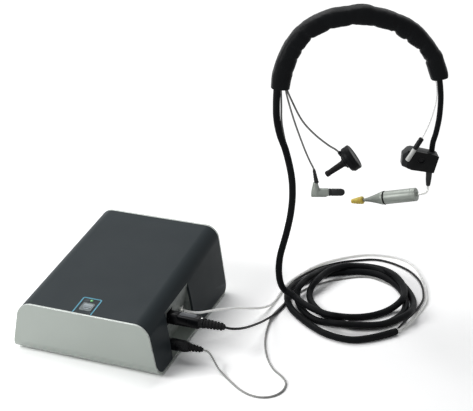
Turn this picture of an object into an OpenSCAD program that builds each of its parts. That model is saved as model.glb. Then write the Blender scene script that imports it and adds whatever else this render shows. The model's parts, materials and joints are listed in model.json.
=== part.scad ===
// Table-top tympanometer: base unit, leads, cable coil and headset with its ear probe.
// Millimetres, +Z up, +Y to the back. The origin is on the table under the centre of the
// base unit; heights inside the modules are counted from the tray's underside, on its feet.

/* [Base unit] */
// Width of the base unit at its underside
base_w = 160; // [140:1:190]
// Depth of the base unit
base_d = 188; // [160:1:220]
// Height at the front panel
front_h = 56; // [50:0.5:66]
// Height at the rear
rear_h = 76.5; // [70:0.5:90]
// How far each side leans in at the top
side_inset = 11.5; // [6:0.5:16]
// Rounding of the two long top edges
top_r = 16; // [10:1:20]
// Outside bend radius of the metal sheet under the front panel
front_bend_r = 14; // [8:1:18]
// Outside bend radius of the metal sheet at the rear
rear_bend_r = 11; // [8:1:18]
// Thickness of the folded metal sheet
sheet_t = 2.5; // [1.5:0.25:3]
// Wall of the dark cover
cover_t = 2.5; // [2:0.25:3.5]
// Diameter of a rubber foot
foot_d = 12; // [8:1:20]
// Height of a rubber foot
foot_h = 1.5; // [1:0.25:4]

/* [Connector recess] */
// Distance from the front panel to the recess
recess_in = 34; // [28:1:38]
// Length of the recess along the side
recess_l = 63; // [60:1:72]
// Top of the recess at its rear end
recess_top = 54.7; // [50:0.1:56]
// Lean of the connector panel, in degrees
panel_lean = 9.8; // [6:0.1:14]
// How far the panel's top edge lies in from the side of the unit
panel_in = 9.5; // [8:0.5:14]
// Height of the upper plug's axis
plug_z = 38; // [36:0.5:40]
// Distance from the front end of the recess to the upper plug
plug_in = 20; // [18:0.5:26]
// Length of the upper plug's body
plug_l = 33; // [26:1:40]
// Height of the lower plug's axis
jack_z = 14; // [13:0.5:16]
// Distance from the front end of the recess to the lower plug
jack_in = 10; // [10:0.5:14]
// Diameter of the lower plug
jack_d = 11.5; // [9:0.5:12]
// Length of the lower plug
jack_l = 29.5; // [24:0.5:34]
// Distance from the front end of the recess to the air fitting
air_in = 50; // [44:1:54]
// Height of the air fitting
air_z = 29; // [24:1:34]

/* [Start key] */
// Width of the key
key_w = 13; // [10:0.5:16]
// Depth of the key
key_d = 12.5; // [10:0.5:14]
// Distance from the front panel to the key's centre
key_in = 13.3; // [12:0.1:18]
// Travel of the key
key_travel = 0.5; // [0.3:0.1:0.6]
// Diameter of the lamp's light pipe
lamp_d = 3; // [2:0.5:4]

/* [Pump] */
// Bore of the air pump
pump_bore_r = 8; // [6:0.5:9]
// Length of the pump's barrel
pump_l = 46; // [36:1:50]
// Running clearance of the piston and the valve plunger
run_gap = 0.05; // [0.03:0.01:0.1]

/* [Cables] */
// Diameter of the braided main cable
sleeve_d = 7.2; // [6:0.1:9]
// Diameter of the black probe lead
probe_cable_d = 2.6; // [2:0.1:3.5]
// Diameter of the grey phone lead
phone_cable_d = 2; // [1.6:0.1:3]
// Diameter of the clear air tube
air_tube_d = 3.2; // [2.8:0.1:4.5]
// Outer radius of the cable coil
coil_r = 77; // [60:1:85]
// Inner radius of the cable coil
coil_in_r = 40; // [34:1:48]
// Height of the cable coil
coil_h = 15; // [12:0.5:18]

/* [Headset] */
// Turn of the headset about the vertical
headset_turn = 20; // [0:1:40]
// Mean radius of the padded headband
band_r = 79; // [72:0.5:86]
// Thickness of the padded headband, outside to inside
band_t = 17.5; // [14:0.5:20]
// Width of the padded headband
band_w = 24; // [20:1:32]
// Thickness of the spring strip inside the headband
strip_t = 1; // [0.8:0.1:1.5]
// Width of the spring strip
strip_w = 12; // [10:0.5:14]
// Depth of the holder block on the headset
holder_d = 18; // [14:1:22]

/* [Ear probe] */
// Diameter of the probe body
probe_d = 14; // [12:0.5:16]
// Length of the probe body without its cap
probe_l = 33.5; // [28:0.5:40]
// Length of the nose cone
cone_l = 26; // [22:0.5:30]
// Diameter of the nose cone's neck
neck_d = 3.6; // [3.2:0.1:4.5]
// Length of the ear tip
tip_l = 13; // [10:0.5:16]
// Largest diameter of the ear tip
tip_d = 7.5; // [6:0.5:12]

/* [Hidden] */

$fn = 48;

half_d = base_d / 2;
slope = (rear_h - front_h) / base_d;
tilt = atan(slope);
cover_in = 0.15;
panel_t = 2;
recess_y0 = -half_d + recess_in;
recess_y1 = recess_y0 + recess_l;
wall_x = base_w / 2 - panel_in;
plug_y = recess_y0 + plug_in;
jack_y = recess_y0 + jack_in;
air_y = recess_y0 + air_in;
plug_x0 = wall_x - 2.5;
plug_x1 = plug_x0 + plug_l;
boot_x1 = plug_x1 + 26;
jack_x0 = wall_x - 6;
jack_x1 = jack_x0 + jack_l;
jack_boot_x1 = jack_x1 + 14;
key_y = -half_d + key_in;
screw_x = base_w / 2 - 13;
screw_y = half_d - 22;
foot_x = base_w / 2 - 28;
port_z = 23;
usb_x = -20;
power_x = 20;
board_z = sheet_t + 8;
board_t = 1.6;
board_w = base_w - 57;
board_d = base_d - 46;
board_x0 = -base_w / 2 + 23;
board_y0 = -half_d + 34;
post_in = 6;
motor_l = 22;
pump_y = half_d - pump_l - motor_l - 26;
pump_x = board_x0 + 22;
pump_z = board_z + 15.5;
valve_x = pump_x + 55;
valve_y = pump_y + 50;
valve_top = board_z + board_t + 15.9;
key_gap = 0.3;
lamp_y = key_d / 2 + 4.25;
key_board_z = -12.2;
spacer_z = key_board_z + board_t;
spacer_x = key_w / 2 + 5.3;
spacer_y0 = -6.6;
spacer_y1 = lamp_y + 5.5;

// Place and heights of the headset, in its own upright plane: s to the right, d away, z up.
headset_x = 144;
headset_y = 88;
band_s = 71.5;
band_z = 239;
cord_r = band_r + 1.3;
band_a0 = 11;
band_a1 = 176.4;
coil_x = 217;
coil_y0 = 111;
coil_y1 = 157;
grey = [0.60, 0.61, 0.60];
black = [0.06, 0.06, 0.07];
charcoal = [0.21, 0.23, 0.24];
silver = [0.66, 0.68, 0.66];

function h_at(y) = front_h + slope * (y + half_d);
function panel_x(z) = wall_x - (recess_top - z) * tan(panel_lean);
function lean(h) = atan(side_inset / h);
function arc_at(i, a) = a + (90 - a) * i / 8;

// Outline of the cover at height h, moved inwards by e.
function outline(h, e) =
  let (a = lean(h), zc = h - top_r, xc = base_w / 2 - (top_r + zc * sin(a)) / cos(a), r = top_r - e)
  concat(
    [[base_w / 2 - e / cos(a), 0]],
    [for (i = [0:8]) [xc + r * cos(arc_at(i, a)), zc + r * sin(arc_at(i, a))]],
    [for (i = [8:-1:0]) [-xc - r * cos(arc_at(i, a)), zc + r * sin(arc_at(i, a))]],
    [[-base_w / 2 + e / cos(a), 0]]);

module on_feet() {
  translate([0, 0, foot_h]) children();
}

module slab(h, e, y0, y1) {
  translate([0, y1, 0]) rotate([90, 0, 0]) linear_extrude(y1 - y0) polygon(outline(h, e));
}

// The wedge-shaped space under the cover's outer face (e = 0) or its inner face (e = cover_t).
module wedge(e) {
  hull() {
    slab(front_h, e, -half_d, -half_d + 0.01);
    slab(rear_h, e, half_d - 0.01, half_d);
  }
}

// Draws children, given as (y, z), as a bar along X from x0 to x1.
module along_x(x0, x1) {
  translate([x0, 0, 0]) rotate([90, 0, 90]) linear_extrude(x1 - x0) children();
}

module rod_x(x0, x1, y, z, r) {
  translate([x0, y, z]) rotate([0, 90, 0]) cylinder(h = x1 - x0, r = r);
}

module rod_y(y0, y1, x, z, r) {
  translate([x, y0, z]) rotate([-90, 0, 0]) cylinder(h = y1 - y0, r = r);
}

// Side view of the fold: open at the top, rounded at both lower corners.
module fold_side(e) {
  y0 = -half_d + e;
  y1 = half_d - e;
  rf = front_bend_r - e;
  rr = rear_bend_r - e;
  difference() {
    translate([y0, e]) square([y1 - y0, rear_h + 20]);
    difference() {
      translate([y0 - 1, e - 1]) square([rf + 1, rf + 1]);
      translate([y0 + rf, e + rf]) circle(r = rf);
    }
    difference() {
      translate([y1 - rr, e - 1]) square([rr + 1, rr + 1]);
      translate([y1 - rr, e + rr]) circle(r = rr);
    }
  }
}

// Side view of the recess, made smaller by e.
module recess_side(e) {
  polygon([
    [recess_y1 - e, sheet_t],
    [recess_y1 - e, recess_top - e],
    [recess_y0 + 6 + e, recess_top - 4.2 - e],
    [recess_y0 + e, sheet_t]]);
}

module on_top(y) {
  translate([0, y, h_at(y)]) rotate([tilt, 0, 0]) children();
}

module round_box(w, d, h, r) {
  linear_extrude(h) {
    square([w - 2 * r, d], center = true);
    square([w, d - 2 * r], center = true);
    for (sx = [-1, 1]) {
      for (sy = [-1, 1]) {
        translate([sx * (w / 2 - r), sy * (d / 2 - r)]) circle(r = r);
      }
    }
  }
}

// A cord is one closed tube swept along its route points; ref is a direction it never follows.
function bow(a, b, c, d, t) =
  0.5 * (2 * b + (c - a) * t + (2 * a - 5 * b + 4 * c - d) * t * t + (3 * b - a - 3 * c + d) * t * t * t);
function soft(p, n) =
  let (m = len(p) - 1)
  concat(
    [for (i = [0:m - 1]) for (k = [0:n - 1])
      bow(p[max(i - 1, 0)], p[i], p[i + 1], p[min(i + 2, m)], k / n)],
    [p[m]]);
function unit(v) = v / norm(v);
function heading(p, i) = unit(p[min(i + 1, len(p) - 1)] - p[max(i - 1, 0)]);

module cord(route, d, n = 1, sides = 8, ref = [0, 0, 1]) {
  p = soft(route, n);
  m = len(p);
  pts = [for (i = [0:m - 1])
    let (t = heading(p, i), u = unit(cross(ref, t)), v = cross(t, u))
    for (k = [0:sides - 1]) p[i] + d / 2 * (cos(360 * k / sides) * u + sin(360 * k / sides) * v)];
  skin = [for (i = [0:m - 2]) for (k = [0:sides - 1])
    let (a = i * sides + k, b = i * sides + (k + 1) % sides)
    each [[a, a + sides, b + sides], [a, b + sides, b]]];
  ends = [[for (k = [0:sides - 1]) k], [for (k = [sides - 1:-1:0]) (m - 1) * sides + k]];
  polyhedron(pts, concat(skin, ends), convexity = 6);
}

// A point of the headset's plane in the shared frame.
function hs(s, d, z) = [
  headset_x + s * cos(headset_turn) - d * sin(headset_turn),
  headset_y + s * sin(headset_turn) + d * cos(headset_turn),
  z];

module on_headset(s = 0, d = 0, z = 0) {
  translate([headset_x, headset_y, 0]) rotate([0, 0, headset_turn]) translate([s, d, z]) children();
}

// Draws children, given as (s, z), as a plate from depth d0 to d1.
module plate(d0, d1) {
  on_headset(0, d1, 0) rotate([90, 0, 0]) linear_extrude(d1 - d0) children();
}

// Base unit

module top_cover() {
  color(charcoal) on_feet()
  difference() {
    intersection() {
      wedge(0);
      along_x(-base_w, base_w) fold_side(sheet_t);
    }
    wedge(cover_t);
    along_x(wall_x - 20, base_w) recess_side(0);
    on_top(key_y) {
      translate([0, 0, -8]) round_box(key_w + 2 * key_gap, key_d + 2 * key_gap, 16, 2);
      translate([0, lamp_y, -8]) cylinder(h = 16, r = lamp_d / 2);
    }
  }
}

// One sheet folded up at the front and the rear; the cover stands inside its edges.
module base_tray() {
  color(silver) on_feet()
  difference() {
    intersection() {
      along_x(-base_w, base_w) difference() {
        fold_side(0);
        fold_side(sheet_t);
      }
      union() {
        slab(front_h, 0, -half_d, -half_d + front_bend_r);
        translate([-base_w / 2 + 0.7, -half_d + front_bend_r - 1, 0])
          cube([base_w - 1.4, base_d - front_bend_r - rear_bend_r + 2, sheet_t]);
        slab(rear_h, 0, half_d - rear_bend_r, half_d);
      }
    }
    for (sx = [-1, 1]) {
      for (sy = [-1, 1]) {
        translate([sx * screw_x, sy * screw_y, -1]) cylinder(h = sheet_t + 2, r = 1.6);
        translate([sx * screw_x, sy * screw_y, -1]) cylinder(h = 2.5, r = 3);
      }
    }
    translate([usb_x - 6.2, half_d - 5, port_z - 5.5]) cube([12.4, 10, 11]);
    rod_y(half_d - 5, half_d + 5, power_x, port_z, 4.2);
  }
}

module panel_slope(x_more) {
  polygon([
    [panel_x(sheet_t) - panel_t, sheet_t],
    [panel_x(sheet_t) + x_more, sheet_t],
    [panel_x(recess_top + 4) + x_more, recess_top + 4],
    [panel_x(recess_top + 4) - panel_t, recess_top + 4]]);
}

module panel_bar(y0, y1, x_more) {
  translate([0, y1, 0]) rotate([90, 0, 0]) linear_extrude(y1 - y0) panel_slope(x_more);
}

module connector_panel() {
  color(grey) on_feet()
  difference() {
    union() {
      intersection() {
        panel_bar(recess_y0, recess_y1, 0);
        along_x(wall_x - 30, base_w) recess_side(cover_in);
      }
      intersection() {
        union() {
          panel_bar(recess_y0 - panel_t, recess_y1 + panel_t, 0);
          panel_bar(recess_y0 - panel_t, recess_y0, 20);
          panel_bar(recess_y1, recess_y1 + panel_t, 20);
        }
        wedge(cover_t);
      }
    }
    probe_socket_block(40);
    rod_x(jack_x0 - 20, wall_x + 20, jack_y, jack_z, 6);
    rod_x(jack_x0 - 20, wall_x + 20, air_y, air_z, 3.5);
  }
}

module probe_socket_block(l) {
  translate([plug_x0 - 16, plug_y - 7, plug_z - 8]) cube([l, 14, 16]);
}

module probe_socket() {
  color(black) on_feet()
  difference() {
    probe_socket_block(16);
    translate([plug_x0 - 7, plug_y - 4.2, plug_z - 5.2]) cube([10, 8.4, 10.4]);
  }
}

module phone_socket() {
  color(black) on_feet()
  difference() {
    rod_x(jack_x0 - 14.5, jack_x0, jack_y, jack_z, 6);
    rod_x(jack_x0 - 12.5, jack_x0 + 5, jack_y, jack_z, 1.75);
  }
}

module air_fitting() {
  color([0.75, 0.75, 0.74]) on_feet()
  difference() {
    union() {
      rod_x(wall_x - 10.5, wall_x - 3.3, air_y, air_z, 3.5);
      rod_x(wall_x - 3.3, wall_x - 0.9, air_y, air_z, 5);
      rod_x(wall_x - 0.9, wall_x + 1.5, air_y, air_z, 2);
    }
    rod_x(wall_x - 11.5, wall_x + 2.5, air_y, air_z, 0.9);
  }
}

module usb_socket() {
  color(grey) on_feet()
  difference() {
    translate([usb_x - 6, half_d - sheet_t - 13, port_z - 5.3]) cube([12, 13 + sheet_t - 0.3, 10.6]);
    translate([usb_x - 4.3, half_d - 12, port_z - 3.6]) cube([8.6, 13, 7.2]);
  }
}

module power_socket() {
  color(black) on_feet()
  difference() {
    union() {
      rod_y(half_d - 16, half_d - sheet_t, power_x, port_z, 6);
      rod_y(half_d - sheet_t, half_d - 0.3, power_x, port_z, 4.2);
    }
    rod_y(half_d - 12, half_d + 1, power_x, port_z, 3.2);
  }
}

module main_board() {
  color([0.10, 0.32, 0.18]) on_feet()
  translate([board_x0, board_y0, board_z]) cube([board_w, board_d, board_t]);
}

module board_standoffs() {
  color([0.78, 0.66, 0.36]) on_feet()
  for (x = [post_in, board_w - post_in]) {
    for (y = [post_in, board_d - post_in]) {
      translate([board_x0 + x, board_y0 + y, sheet_t]) cylinder(h = board_z - sheet_t, r = 3, $fn = 6);
    }
  }
}

module pump_body() {
  color([0.83, 0.83, 0.80]) on_feet()
  difference() {
    union() {
      rod_y(pump_y, pump_y + pump_l, pump_x, pump_z, pump_bore_r + 3);
      translate([pump_x - 13, pump_y, board_z + board_t])
        cube([26, pump_l, pump_z - board_z - board_t]);
    }
    rod_y(pump_y + 3, pump_y + pump_l + 1, pump_x, pump_z, pump_bore_r);
    rod_y(pump_y - 1, pump_y + 4, pump_x, pump_z, 1);
  }
}

module pump_piston() {
  color([0.55, 0.56, 0.58]) on_feet()
  union() {
    difference() {
      rod_y(pump_y + 20, pump_y + 28, pump_x, pump_z, pump_bore_r - run_gap);
      difference() {
        rod_y(pump_y + 23, pump_y + 25, pump_x, pump_z, pump_bore_r + 1);
        rod_y(pump_y + 22, pump_y + 26, pump_x, pump_z, pump_bore_r - 1.5);
      }
    }
    rod_y(pump_y + 28, pump_y + pump_l + motor_l + 10, pump_x, pump_z, 2.5);
  }
}

module pump_motor() {
  color([0.30, 0.30, 0.31]) on_feet()
  difference() {
    union() {
      translate([pump_x - 14, pump_y + pump_l, board_z + board_t])
        cube([28, motor_l, pump_z + 14 - board_z - board_t]);
      rod_y(pump_y + pump_l + motor_l, pump_y + pump_l + motor_l + 4, pump_x, pump_z, 6);
    }
    rod_y(pump_y + pump_l - 1, pump_y + pump_l + motor_l + 5, pump_x, pump_z, 2.5 + run_gap);
  }
}

module pressure_sensor() {
  color([0.85, 0.85, 0.82]) on_feet()
  translate([pump_x + 41, pump_y + 16, board_z + board_t]) {
    cube([12, 12, 6]);
    for (x = [3.5, 8.5]) {
      translate([x, 6, 6]) cylinder(h = 7, r = 1.6);
    }
  }
}

module release_valve() {
  color([0.24, 0.24, 0.26]) on_feet()
  difference() {
    translate([valve_x - 8, valve_y - 8, board_z + board_t]) cube([16, 16, valve_top - board_z - board_t]);
    translate([valve_x, valve_y, board_z + board_t + 5]) cylinder(h = 20, r = 3 + run_gap);
  }
}

module valve_plunger() {
  color([0.7, 0.7, 0.7]) on_feet()
  translate([valve_x, valve_y, 0]) {
    translate([0, 0, valve_top - 8]) cylinder(h = 11.5, r = 3);
    translate([0, 0, valve_top + 3.4]) cylinder(h = 2, r = 5);
  }
}

module valve_spring() {
  color([0.72, 0.72, 0.7]) on_feet()
  translate([valve_x, valve_y, valve_top]) difference() {
    cylinder(h = 3.4, r = 4.4);
    translate([0, 0, -1]) cylinder(h = 6, r = 3.6);
  }
}

module key_board() {
  color([0.10, 0.32, 0.18]) on_feet()
  on_top(key_y) translate([-spacer_x - 3.2, spacer_y0 - 2.9, key_board_z])
    cube([2 * spacer_x + 6.4, spacer_y1 - spacer_y0 + 5.9, board_t]);
}

module key_spacers() {
  color([0.78, 0.66, 0.36]) on_feet()
  on_top(key_y)
  for (x = [-spacer_x, spacer_x]) {
    for (y = [spacer_y0, spacer_y1]) {
      translate([x, y, spacer_z]) cylinder(h = -spacer_z - cover_t, r = 2.4);
    }
  }
}

module key_switch() {
  color([0.2, 0.2, 0.2]) on_feet()
  on_top(key_y) {
    translate([-3, -3, spacer_z]) cube([6, 6, 2.6]);
    translate([0, 0, spacer_z + 2.6]) cylinder(h = 0.8, r = 1.7);
  }
}

module status_led() {
  color([0.5, 0.9, 0.55]) on_feet()
  on_top(key_y) translate([0, lamp_y, spacer_z]) {
    cylinder(h = 1, r = 1.9);
    translate([0, 0, 1]) cylinder(h = 3.5, r = 1.5);
  }
}

module light_pipe() {
  color([0.8, 0.95, 0.85]) on_feet()
  on_top(key_y) translate([0, lamp_y, spacer_z + 4.5]) cylinder(h = 0.2 - spacer_z - 4.5, r = lamp_d / 2);
}

// The cap stands key_gap clear in its opening; a flange under the cover keeps it in.
module start_key() {
  color([0.35, 0.38, 0.39]) on_feet()
  on_top(key_y) {
    translate([0, 0, -cover_t - 1.3]) round_box(key_w + 2.6, key_d + 2.6, 1, 2);
    translate([0, 0, -cover_t - 0.3]) round_box(key_w, key_d, cover_t + 0.7, 2);
    translate([0, 0, spacer_z + 3.5 + key_travel]) cylinder(h = -spacer_z - 7.3 - key_travel, r = 2.5);
  }
}

module corner_blocks() {
  color(grey) on_feet()
  difference() {
    intersection() {
      for (sx = [-1, 1]) {
        for (sy = [-1, 1]) {
          translate([sx * (screw_x + 9) - 16, sy * screw_y - 6, sheet_t]) cube([32, 12, 12]);
        }
      }
      wedge(cover_t);
    }
    for (sx = [-1, 1]) {
      for (sy = [-1, 1]) {
        translate([sx * screw_x, sy * screw_y, 0]) cylinder(h = 11, r = 1.4);
      }
    }
  }
}

module cover_screws() {
  color([0.72, 0.72, 0.72]) on_feet()
  for (sx = [-1, 1]) {
    for (sy = [-1, 1]) {
      translate([sx * screw_x, sy * screw_y, 0.1]) {
        cylinder(h = 1.4, r = 2.8);
        cylinder(h = 9.9, r = 1.4);
      }
    }
  }
}

module rubber_feet() {
  color(black) on_feet()
  for (sx = [-1, 1]) {
    for (sy = [-1, 1]) {
      translate([sx * foot_x, sy * screw_y, -foot_h]) cylinder(h = foot_h, r = foot_d / 2);
    }
  }
}

// Plugs in the recess

module probe_plug() {
  color(black) on_feet()
  union() {
    translate([plug_x0 - 6, plug_y - 4, plug_z - 5]) cube([7, 8, 10]);
    translate([plug_x0, plug_y, plug_z]) rotate([0, 90, 0]) round_box(12, 10, plug_l, 3);
    rod_x(plug_x1, plug_x1 + 4.5, plug_y, plug_z, 5.5);
  }
}

module probe_plug_boot() {
  x0 = plug_x1 + 4.5;
  color(black) on_feet()
  union() {
    translate([x0, plug_y, plug_z]) rotate([0, 90, 0]) cylinder(h = 21.5, r1 = 4.2, r2 = 3.2);
    for (i = [0:4]) {
      rod_x(x0 + 1.5 + 3.8 * i, x0 + 3.7 + 3.8 * i, plug_y, plug_z, 5 - 0.25 * i);
    }
  }
}

module phone_plug() {
  color([0.12, 0.12, 0.13]) on_feet()
  union() {
    rod_x(jack_x0 - 11.5, jack_x0 + 0.5, jack_y, jack_z, 1.7);
    rod_x(jack_x0, jack_x1, jack_y, jack_z, jack_d / 2);
  }
}

module phone_plug_boot() {
  color(black) on_feet()
  union() {
    translate([jack_x1, jack_y, jack_z]) rotate([0, 90, 0]) cylinder(h = 14, r1 = 3.6, r2 = 2);
    for (i = [0:3]) {
      rod_x(jack_x1 + 1 + 3 * i, jack_x1 + 2.8 + 3 * i, jack_y, jack_z, 4.2 - 0.4 * i);
    }
  }
}

// Leads on the table

module probe_cable() {
  color(black) on_feet()
  cord([[boot_x1, plug_y, plug_z], [boot_x1 + 4, plug_y + 3, plug_z - 2.5],
    [boot_x1 + 5, plug_y + 12, plug_z - 9], [boot_x1 + 3.5, plug_y + 26, 19.5],
    [130, 2, 10], [131, 18, 4.5], [134, 32, 2.4], [140, 48, 2.3], [147, 63, 2.3], [155, 75, 3.4]],
    probe_cable_d, 1, 8);
}

module phone_cable() {
  color(grey) on_feet()
  cord([[jack_boot_x1, jack_y, jack_z], [jack_boot_x1 + 6, jack_y - 0.5, jack_z - 1],
    [jack_boot_x1 + 12, jack_y - 4, 8.5], [jack_boot_x1 + 19, jack_y - 9, 3], [136, -65, 0],
    [146, -73, -0.5], [157, -81, -0.5], [168, -86, -0.5], [180, -86.5, -0.5], [190, -81, -0.5],
    [196, -70, -0.5], [195, -56, -0.5], [187, -46, -0.5], [177, -38, -0.5], [166, -23, -0.5],
    [156, -2, -0.5], [149, 20, -0.5], [144, 44, -0.5], [141, 66, -0.5], [140.5, 82, 0],
    [146, 103, 2.5]], phone_cable_d, 1, 8);
}

module air_tube() {
  color([0.9, 0.91, 0.9]) on_feet()
  cord([[wall_x + 1.5, air_y, air_z], [wall_x + 9.5, air_y, air_z],
    [wall_x + 17.5, air_y + 1, air_z - 0.5], [wall_x + 24, air_y + 9, air_z - 3.5],
    [98.5, 12, 18.5], [102, 26, 11], [106, 40, 4.5], [113, 51, 1.2], [123, 60, 1.1],
    [134, 71, 3], [143, 82, 3.9], [149, 89, 4]], air_tube_d, 1, 8);
}

module coil_ring(r, z0, z1) {
  translate([coil_x, 0, z0]) linear_extrude(z1 - z0) {
    translate([0, coil_y0]) circle(r = r);
    translate([0, coil_y1]) circle(r = r);
    translate([-r, coil_y0]) square([2 * r, coil_y1 - coil_y0]);
  }
}

module cable_coil() {
  color(black) on_feet()
  difference() {
    coil_ring(coil_r, -foot_h, coil_h - foot_h);
    coil_ring(coil_in_r, -foot_h - 1, coil_h - foot_h + 1);
  }
}

module cable_sleeve() {
  color(black) on_feet()
  cord([hs(18, 0, 5), hs(10, 0, 9.4), hs(4, 0, 18), hs(0.8, 0, 28), hs(-2.3, 0, 46),
    hs(0.6, 0, 66), hs(4.4, 0, 87), hs(7.8, 0, 107), hs(9.1, 0, 128), hs(7.4, 0, 150),
    hs(1.4, 0, 176), hs(-5, 0, 194), hs(-8.4, 0, 211), hs(-9, 0, 228),
    hs(band_s + cord_r * cos(band_a1), 0, band_z + cord_r * sin(band_a1))],
    sleeve_d, 1, 10, [0.34, -0.94, 0]);
}

// Headset

module band_arc(r, t, w, a0, a1, corner) {
  on_headset(band_s, 0, band_z) rotate([90, 0, 0]) rotate([0, 0, a0])
  rotate_extrude(angle = a1 - a0, $fn = 96) translate([r, 0]) {
    square([t - 2 * corner, w], center = true);
    square([t, w - 2 * corner], center = true);
    for (sx = [-1, 1]) {
      for (sy = [-1, 1]) {
        translate([sx * (t / 2 - corner), sy * (w / 2 - corner)]) circle(r = corner);
      }
    }
  }
}

module headband_pad() {
  color(black) on_feet()
  difference() {
    band_arc(band_r, band_t, band_w, band_a0, band_a1, 6);
    band_arc(band_r - 3, strip_t, strip_w, band_a0 + 1, band_a1 - 1, 0.2);
  }
}

module headband_spring() {
  color([0.6, 0.6, 0.62]) on_feet()
  band_arc(band_r - 3, strip_t, strip_w, band_a0 + 1, band_a1 - 1, 0.2);
}

module probe_sleeve() {
  color(black) on_feet()
  cord([hs(band_s + cord_r * cos(band_a0), 0, band_z + cord_r * sin(band_a0)), hs(152.6, 0, 243),
    hs(153.9, 0, 230), hs(153.8, 0, 212), hs(151.8, 0, 196), hs(149.4, 0, 185), hs(149, 0, 179)],
    sleeve_d - 1.4, 1, 10, [0.34, -0.94, 0]);
}

module holder_outline() {
  polygon([[123.6, 182.6], [119.3, 170.7], [120.1, 157.5], [130.4, 155.3], [142, 153.5],
    [153.1, 153.5], [155.4, 175.6], [136.8, 180.5]]);
}

module probe_holder() {
  color([0.08, 0.08, 0.09]) on_feet()
  difference() {
    union() {
      plate(-holder_d / 2, holder_d / 2) holder_outline();
      on_headset(149, 0, 172) cylinder(h = 7, r = 4.5);
    }
    plate(-holder_d / 2 - 1, holder_d / 2 - 2) polygon([[125.5, 178.6], [121.8, 169.5],
      [122.3, 159.6], [131, 157.7], [142, 155.9], [151, 155.9], [152.4, 171], [136.2, 176]]);
  }
}

module holder_cover() {
  color([0.25, 0.25, 0.27]) on_feet()
  plate(-holder_d / 2 - 2, -holder_d / 2) holder_outline();
}

module probe_strain_relief() {
  color(black) on_feet()
  on_headset(148, 0, 137.5) cylinder(h = 16, r1 = 2, r2 = 3.8);
}

// The probe hangs with its rear to the viewer: x runs from its rear face to its tip.
module on_probe() {
  on_headset(137.4, 0, 128.2) rotate([0, 17, 155]) children();
}

module turned(x0, x1, r0, r1) {
  translate([x0, 0, 0]) rotate([0, 90, 0]) cylinder(h = x1 - x0, r1 = r0, r2 = r1);
}

module probe_lead() {
  color([0.75, 0.75, 0.74]) on_feet()
  cord([hs(148, 0, 137.5), hs(148, -0.4, 134.2), hs(146.6, -1.6, 131.4), hs(143.4, -2.2, 130),
    hs(140.2, -1.2, 129.1), hs(137.4, 0, 128.2)], 2.4, 1, 8, [0.34, -0.94, 0]);
}

module probe_rear_cap() {
  color([0.62, 0.62, 0.62]) on_feet()
  on_probe() {
    turned(0, 0.8, probe_d / 2 - 0.8, probe_d / 2);
    turned(0.8, 1.5, probe_d / 2, probe_d / 2);
    turned(1.5, 4, probe_d / 2 - 1.4, probe_d / 2 - 1.4);
  }
}

module probe_body() {
  color([0.72, 0.72, 0.71]) on_feet()
  on_probe() difference() {
    turned(1.5, 1.5 + probe_l, probe_d / 2, probe_d / 2);
    turned(1, 2 + probe_l, probe_d / 2 - 1.4, probe_d / 2 - 1.4);
  }
}

module probe_core() {
  x1 = 1.5 + probe_l;
  color([0.2, 0.2, 0.22]) on_feet()
  on_probe() difference() {
    union() {
      turned(4, x1, probe_d / 2 - 1.4, probe_d / 2 - 1.4);
      turned(x1, x1 + 3, 5, 5);
      turned(x1 + 3, x1 + cone_l - 1, 1.1, 1.1);
    }
    turned(x1 + cone_l - 6, x1 + cone_l, 0.4, 0.4);
  }
}

module probe_o_ring() {
  color(black) on_feet()
  on_probe() difference() {
    turned(1.5 + probe_l, 3 + probe_l, probe_d / 2, probe_d / 2);
    turned(1 + probe_l, 4 + probe_l, 5, 5);
  }
}

// The cone pulls forward off the core; its bore keeps run_gap clear of the seat and the stem.
module nose_cone() {
  x1 = 3 + probe_l;
  color([0.76, 0.76, 0.75]) on_feet()
  on_probe() difference() {
    union() {
      turned(x1 + run_gap, x1 + 2.5, probe_d / 2, probe_d / 2);
      turned(x1 + 2.5, x1 + cone_l - 4, probe_d / 2, neck_d / 2);
      turned(x1 + cone_l - 4, x1 + cone_l + 6, neck_d / 2, neck_d / 2);
    }
    turned(x1 - 1, x1 + 2, 5 + run_gap, 5 + run_gap);
    turned(x1 - 1, x1 + cone_l + 7, 1.2, 1.2);
  }
}

module ear_tip() {
  x2 = 3 + probe_l + cone_l;
  color([0.87, 0.75, 0.24]) on_feet()
  on_probe() difference() {
    union() {
      turned(x2 - 2, x2 + 1, tip_d / 2 - 0.6, tip_d / 2);
      turned(x2 + 1, x2 + tip_l - 2, tip_d / 2, 1.9);
    }
    turned(x2 - 3, x2 + tip_l, neck_d / 2 + 0.02, neck_d / 2 + 0.02);
  }
}

module air_joint() {
  color([0.15, 0.15, 0.16]) on_feet()
  on_headset(135.8, -13.25, 195.4) rotate([0, 208.7, 0]) {
    cylinder(h = 13.4, r = 2.25);
  }
}

module air_joint_sleeve() {
  color([0.9, 0.9, 0.88]) on_feet()
  on_headset(135.8, -13.25, 195.4) rotate([0, 208.7, 0]) {
    translate([0, 0, 13.4]) cylinder(h = 14.2, r = 2.25);
  }
}

module air_lead() {
  color([0.88, 0.88, 0.87]) on_feet()
  cord([hs(142.6, 0, 252.8), hs(146.5, -3.5, 245), hs(147.5, -5.5, 234), hs(144, -7.5, 216),
    hs(139, -11, 202), hs(135.8, -13.25, 195.4)], 1.2, 1, 8, [0.34, -0.94, 0]);
}

module elbow_strain_relief() {
  color(black) on_feet()
  on_headset(33.5, 0, 141) rotate([0, -12, 0]) cylinder(h = 15.5, r1 = 2.4, r2 = 1.3);
}

module elbow_phone() {
  color(silver) on_feet()
  on_headset(0, 0, 0) union() {
    translate([33.5, 0, 130]) cylinder(h = 11, r = 2.6);
    translate([31.5, 0, 130]) sphere(r = 3.6);
    translate([31.5, 0, 130]) rotate([0, 90, 0]) cylinder(h = 14.5, r = 3.6);
    translate([46, 0, 130]) rotate([0, 90, 0]) cylinder(h = 8, r = 1.6);
  }
}

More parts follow.
